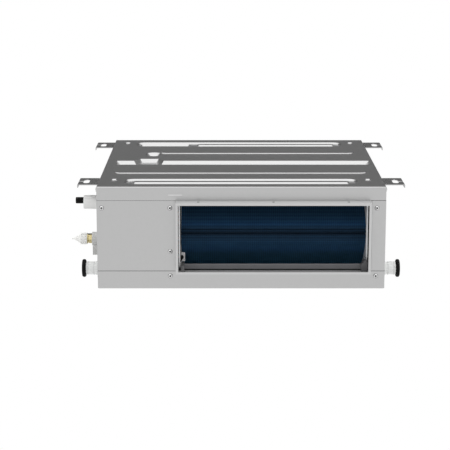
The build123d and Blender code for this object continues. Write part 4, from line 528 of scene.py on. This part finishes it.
# The recess faces take the dark second material: painted shade
for cutter in cutters:
    cutter.data.polygons.foreach_set("material_index", [1] * len(cutter.data.polygons))
    cut = screw_blank.modifiers.new("recess", "BOOLEAN")
    cut.operation = "DIFFERENCE"
    cut.solver = "EXACT"
    cut.object = cutter
bpy.context.view_layer.update()
finished_screw = screw_blank.evaluated_get(bpy.context.evaluated_depsgraph_get())
cut_screw = bpy.data.meshes.new_from_object(finished_screw)
for spare in spares:
    bpy.data.objects.remove(spare)

# Ring of painted shadow round the foot of the head, in the dark material
made = bmesh.new()
shadow_ring_low = -0.0001
shadow_ring_high = 0.0003
shadow_ring_radius = head_radius + shadow_ring_width
shadow_ring = [(shadow_ring_low, shadow_ring_inside), (shadow_ring_low, shadow_ring_radius), (shadow_ring_high, shadow_ring_radius), (shadow_ring_high, shadow_ring_inside)]
lathe(made, shadow_ring, (0.0, 0.0), 32)
for face in made.faces:
    face.material_index = 1
made.from_mesh(cut_screw)
made.to_mesh(cut_screw)
made.free()


# Screws in their places on the front, the rear, the sides and the brackets
front_places = [(-0.338, 0.201), (-0.1725, 0.201), (-0.1725, 0.093), (-0.1725, 0.032)]
front_places += [(0.328, 0.201), (0.328, 0.032)]
rear_places = [(x, z) for x in (-0.290, 0.0, 0.290) for z in (0.022, 0.23625)]
side_places = [(-0.320, 0.022), (0.320, 0.022), (-0.336, 0.243)]
bracket_places = [(y + spread, 0.228) for y in (-0.262, 0.282) for spread in (-0.026, 0.026)]
turn_between = 37.0

seats = [((x, -case_half, z), -90.0) for x, z in front_places]
seats += [((x, case_half, z), 90.0) for x, z in rear_places]
for side, heading in ((-1, 180.0), (1, 0.0)):
    seats += [((side * case_half, y, z), heading) for y, z in side_places]
    seats += [((side * (case_half + bracket_sheet), y, z), heading) for y, z in bracket_places]
made = bmesh.new()
for number, (place, heading) in enumerate(seats):
    facing = Matrix.Rotation(math.radians(heading), 4, "Z")
    spin = Matrix.Rotation(math.radians(turn_between * number), 4, "X")
    copy = cut_screw.copy()
    copy.transform(Matrix.Translation(place) @ facing @ spin)
    made.from_mesh(copy)
    bpy.data.meshes.remove(copy)
screws = finish_mesh(made, "screws")
smooth(screws, 40.0)
dark_faces = [face.material_index for face in screws.polygons]
add_piece("recessed_screws", screws, "casing", "zinc_screws", "casing_screws")
screws.materials.append(looks["screw_painted_shade"])
screws.polygons.foreach_set("material_index", dark_faces)


# Gas union with hexagon flats, a groove and thread turns
union_low, union_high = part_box("gas_union")
union_centre = ((union_low.y + union_high.y) / 2, (union_low.z + union_high.z) / 2)
union_radius = (union_high.z - union_low.z) / 2
boss_face = -0.373
hexagon_start = boss_face + 0.005
hexagon_end = boss_face - 0.0075
neck_start = boss_face - 0.0072
neck_end = boss_face - 0.0095
neck_radius = union_radius * 0.84
ring_start = boss_face - 0.0100
ring_radius = union_radius * 0.97
thread_start = -0.385
thread_pitch = 0.0014
thread_root = 0.0101
thread_crest = 0.0111
bore = 0.0065

made = bmesh.new()
hexagon = [(hexagon_start, bore), (hexagon_start, union_radius)]
hexagon += [(hexagon_end, union_radius), (hexagon_end, bore)]
lathe(made, hexagon, union_centre, 6)
neck = [(neck_start, bore), (neck_start, neck_radius), (neck_end, neck_radius)]
neck += [(ring_start, ring_radius), (thread_start, ring_radius), (thread_start, bore)]
lathe(made, neck, union_centre, 48)
thread = [(thread_start + 0.0002, bore), (thread_start + 0.0002, 0.0100)]
x = thread_start
while x - thread_pitch > union_low.x + 0.0012:
    thread += [(x - thread_pitch * 0.25, thread_crest), (x - thread_pitch * 0.5, thread_crest)]
    thread.append((x - thread_pitch, thread_root))
    x -= thread_pitch
thread += [(union_low.x, 0.0096), (union_low.x, bore)]
lathe(made, thread, union_centre, 48)
union_mesh = finish_mesh(made, "gas_union_turned")
smooth(union_mesh, 30.0)
add_piece("gas_union_turned", union_mesh, "casing", "brass", "gas_union")


# Gas cap with flat ribs on its skirt and a stepped cone
gas_low, gas_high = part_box("gas_cap")
cap_radius = (gas_high.z - gas_low.z) / 2
cap_bore = 0.0114
cap_face = gas_high.x
rim_end = cap_face - 0.0018
bore_end = cap_face - 0.015
skirt_end = cap_face - 0.016
cone_foot = 0.0122
cone_steps = 6
cone_step_height = 0.0003
tip_foot = gas_low.x + 0.0060
tip_radius = 0.0017
rib_count = 12
rib_groove = 0.0011
groove_share = 0.16
edge = 0.0001


def cap_swell(x, angle):
    if not skirt_end < x < rim_end:
        return 0.0
    phase = (angle * rib_count / (2.0 * math.pi)) % 1.0
    return -rib_groove if min(phase, 1.0 - phase) < groove_share / 2 else 0.0


shell = [(cap_face, cap_bore), (cap_face, cap_radius - 0.0003), (rim_end, cap_radius - 0.0003)]
shell += [(rim_end - edge, cap_radius - edge), (skirt_end + edge, cap_radius - edge)]
shell.append((skirt_end, cone_foot))
for step in range(1, cone_steps + 1):
    share = step / cone_steps
    x = skirt_end + (tip_foot - skirt_end) * share
    radius = cone_foot + (tip_radius - cone_foot) * share
    shell += [(x + edge, radius + cone_step_height), (x, radius)]
shell += [(gas_low.x + 0.0006, tip_radius), (gas_low.x, tip_radius - 0.0005), (gas_low.x, 0.0)]
shell += [(bore_end, 0.0), (bore_end, cap_bore)]
made = bmesh.new()
lathe(made, shell, union_centre, 150, cap_swell)
cap_mesh = finish_mesh(made, "gas_cap_ribbed")
smooth(cap_mesh, 30.0)
add_piece("gas_cap_ribbed", cap_mesh, "gas_cap", "cap_white", "gas_cap")


# Dark strips of painted shadow: in the seams of the front, beside the coil and under the pan's rim
seam_end = 0.3495
seam_face = -0.35005
seam_back = -0.3492
seam_gap = 0.0005
bottom_seam = (0.0438, 0.0449)
top_seam_left = (collar_top, 0.2196)
top_seam_right = (collar_top, 0.2200)
strip_front = plate_face - 0.0006
strip_top = 0.2185
made = bmesh.new()
for left_seam, right_seam in ((bottom_seam, bottom_seam), (top_seam_left, top_seam_right)):
    seam_starts = ((-seam_end, collar_left - seam_gap), (collar_right + seam_gap, seam_end))
    for (x0, x1), (z0, z1) in zip(seam_starts, (left_seam, right_seam)):
        block(made, (x0, seam_face, z0), (x1, seam_back, z1))
block(made, (-0.1485, strip_front, 0.0640), (-0.1463, plate_face, strip_top))
block(made, (0.3079, strip_front, 0.0500), (0.3116, plate_face, strip_top))
block(made, (-0.1465, -0.3424, 0.0456), (0.3045, -0.3421, 0.0484))

# Dark hook on the tab, and dark rings of painted shade round the holes in the collar's top
hook = [(-0.1462, 0.0820), (-0.1425, 0.0815), (-0.1398, 0.0770)]
hook += [(-0.1410, 0.0730), (-0.1440, 0.0700), (-0.1462, 0.0665)]
prism_along_y(made, hook, plate_face - 0.0010, plate_face)
hole_y = -0.3670
hole_edge = 0.0019
ring_top = collar_top + 0.0004
ring_profile = ((hole_edge, collar_top), (0.0031, collar_top), (0.0028, ring_top), (hole_edge, ring_top))
for hole_x in (-0.1040, 0.0771, 0.2582):
    loops = []
    for radius, z in ring_profile:
        around = [(hole_x + radius * across, hole_y + radius * along) for _, across, along in circle(24)]
        loops.append([made.verts.new((x, y, z)) for x, y in around])
    skin(made, loops, 24)
add_piece("painted_shade_strips", finish_mesh(made, "painted_shade_strips"), "casing", "black_rubber")


# Face on the tab of the left end plate, round the hook, in a darker copy of the steel: painted shade
tab = hook[::-1] + [(-0.1462, 0.0879), (-0.1401, 0.0879), (-0.1371, 0.0850)]
tab += [(-0.1371, 0.0690), (-0.1401, 0.0661)]
made = bmesh.new()
prism_along_y(made, tab, plate_face - 0.0002, plate_face)
tab_face = add_piece("tab_face", finish_mesh(made, "tab_face"), "casing", "coil_plate_steel")
dress(tab_face, looks["shaded_tab_steel"])


# Moulded clips over both ends of the pan's rim
rim_front = -0.3463
rim_back = -0.3387
rim_top = 0.0612
lip_foot = 0.0560
clip_back = -0.3350
grip = [(rim_front, collar_floor), (rim_front, rim_top), (rim_back, rim_top)]
grip += [(rim_back, lip_foot), (clip_back, lip_foot)]
left_clip = [(-0.3660, collar_floor)] + grip
left_clip += [(clip_back, 0.0630), (-0.3480, 0.0630), (-0.3560, 0.0590)]
right_clip = [(-0.3480, collar_floor)] + grip
right_clip += [(clip_back, 0.0700), (-0.3480, 0.0700)]
shield = [(0.2915, collar_floor), (0.3068, collar_floor), (0.3068, 0.0690), (0.3050, 0.0738)]
shield += [(0.3000, 0.0738), (0.2952, 0.0662), (0.2915, 0.0640)]
made = bmesh.new()
prism_along_x(made, left_clip, -0.1462, -0.1384)
prism_along_x(made, right_clip, 0.2950, 0.3042)
prism_along_y(made, shield, -0.3620, -0.3470)
clip_mesh = finish_mesh(made, "pan_clips_moulded")
add_piece("pan_clips_moulded", clip_mesh, "casing", "clip_plastic", "pan_clips")


# Raised edge below the shallow press of the lid's front flange
made = bmesh.new()
ridge = [(-0.3499, 0.2336), (-0.3509, 0.2323), (-0.3499, 0.2322)]
prism_along_x(made, ridge, -0.1768, -0.1431)
add_piece("flange_ridge", finish_mesh(made, "flange_ridge"), "casing", "galvanised")


# Rings on the drain spigots, in a darker grey than the spigots' white: painted shade
spigot_centre = (-0.2750, 0.0330)
ring_width = 0.0010
ring_inside = 0.0158
ring_outside = 0.01635
made = bmesh.new()
for side in (-1, 1):
    for place in (0.3640, 0.3785):
        ring = [(side * place, ring_inside), (side * place, ring_outside)]
        far_side = side * (place + ring_width)
        ring += [(far_side, ring_outside), (far_side, ring_inside)]
        lathe(made, ring, spigot_centre, 64)
ring_mesh = finish_mesh(made, "spigot_rings_painted_shade")
smooth(ring_mesh, 30.0)
add_piece("spigot_rings_painted_shade", ring_mesh, "casing", "stem_plastic")


# Filter net: crossing threads in the plane of the mesh
net_low, net_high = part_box("filter_mesh")
net_pitch = 0.0021
half = 0.00022
net_y = (net_low.y + net_high.y) / 2
net_width = net_high.x - net_low.x
net_height = net_high.z - net_low.z
columns = int(net_width / net_pitch)
rows = int(net_height / net_pitch)
made = bmesh.new()
for index in range(1, columns):
    x = net_low.x + net_width * index / columns
    block(made, (x - half, net_y, net_low.z), (x + half, net_y + 2 * half, net_high.z))
for index in range(1, rows):
    z = net_low.z + net_height * index / rows
    block(made, (net_low.x, net_y - half, z - half), (net_high.x, net_y + half, z + half))
add_piece("filter_net", finish_mesh(made, "filter_net"), "filter", "filter_net", "filter_mesh")


# Pale floor and soft surrounding light
floor_mesh = bpy.data.meshes.new("floor")
reach = 60.0
floor_corners = [(-reach, -reach, 0.0), (reach, -reach, 0.0), (reach, reach, 0.0), (-reach, reach, 0.0)]
floor_mesh.from_pydata(floor_corners, [], [(0, 1, 2, 3)])
floor_object = bpy.data.objects.new("floor", floor_mesh)
scene.collection.objects.link(floor_object)
floor_object.location.z = -0.0005
floor_look = bpy.data.materials.new("floor")
floor_look.use_nodes = True
floor_tree = floor_look.node_tree
floor_tree.nodes.remove(floor_tree.nodes["Principled BSDF"])
glow = floor_tree.nodes.new("ShaderNodeEmission")
glow.inputs["Color"].default_value = (1.0, 1.0, 1.0, 1.0)
glow.inputs["Strength"].default_value = 1.0
floor_out = floor_tree.nodes["Material Output"]
floor_tree.links.new(glow.outputs["Emission"], floor_out.inputs["Surface"])
floor_mesh.materials.append(floor_look)

world = bpy.data.worlds.new("studio")
scene.world = world
world.use_nodes = True
sky = world.node_tree
backdrop = sky.nodes["Background"]
direction = sky.nodes.new("ShaderNodeTexCoord")
parts = sky.nodes.new("ShaderNodeSeparateXYZ")
sky.links.new(direction.outputs["Generated"], parts.inputs["Vector"])
front_fill = ranged(sky, parts.outputs["Y"], 0.145, 1.0, 0.05, -0.40, soft=True)
height = ranged(sky, parts.outputs["Z"], 0.0, 1.0, 0.52, 0.74, soft=True)
dome = towards(sky, height, front_fill, 1.75)
path = sky.nodes.new("ShaderNodeLightPath")
seen = towards(sky, path.outputs["Is Camera Ray"], dome, 1.0)
sky.links.new(seen, backdrop.inputs["Strength"])
backdrop.inputs["Color"].default_value = (1.0, 1.0, 1.0, 1.0)
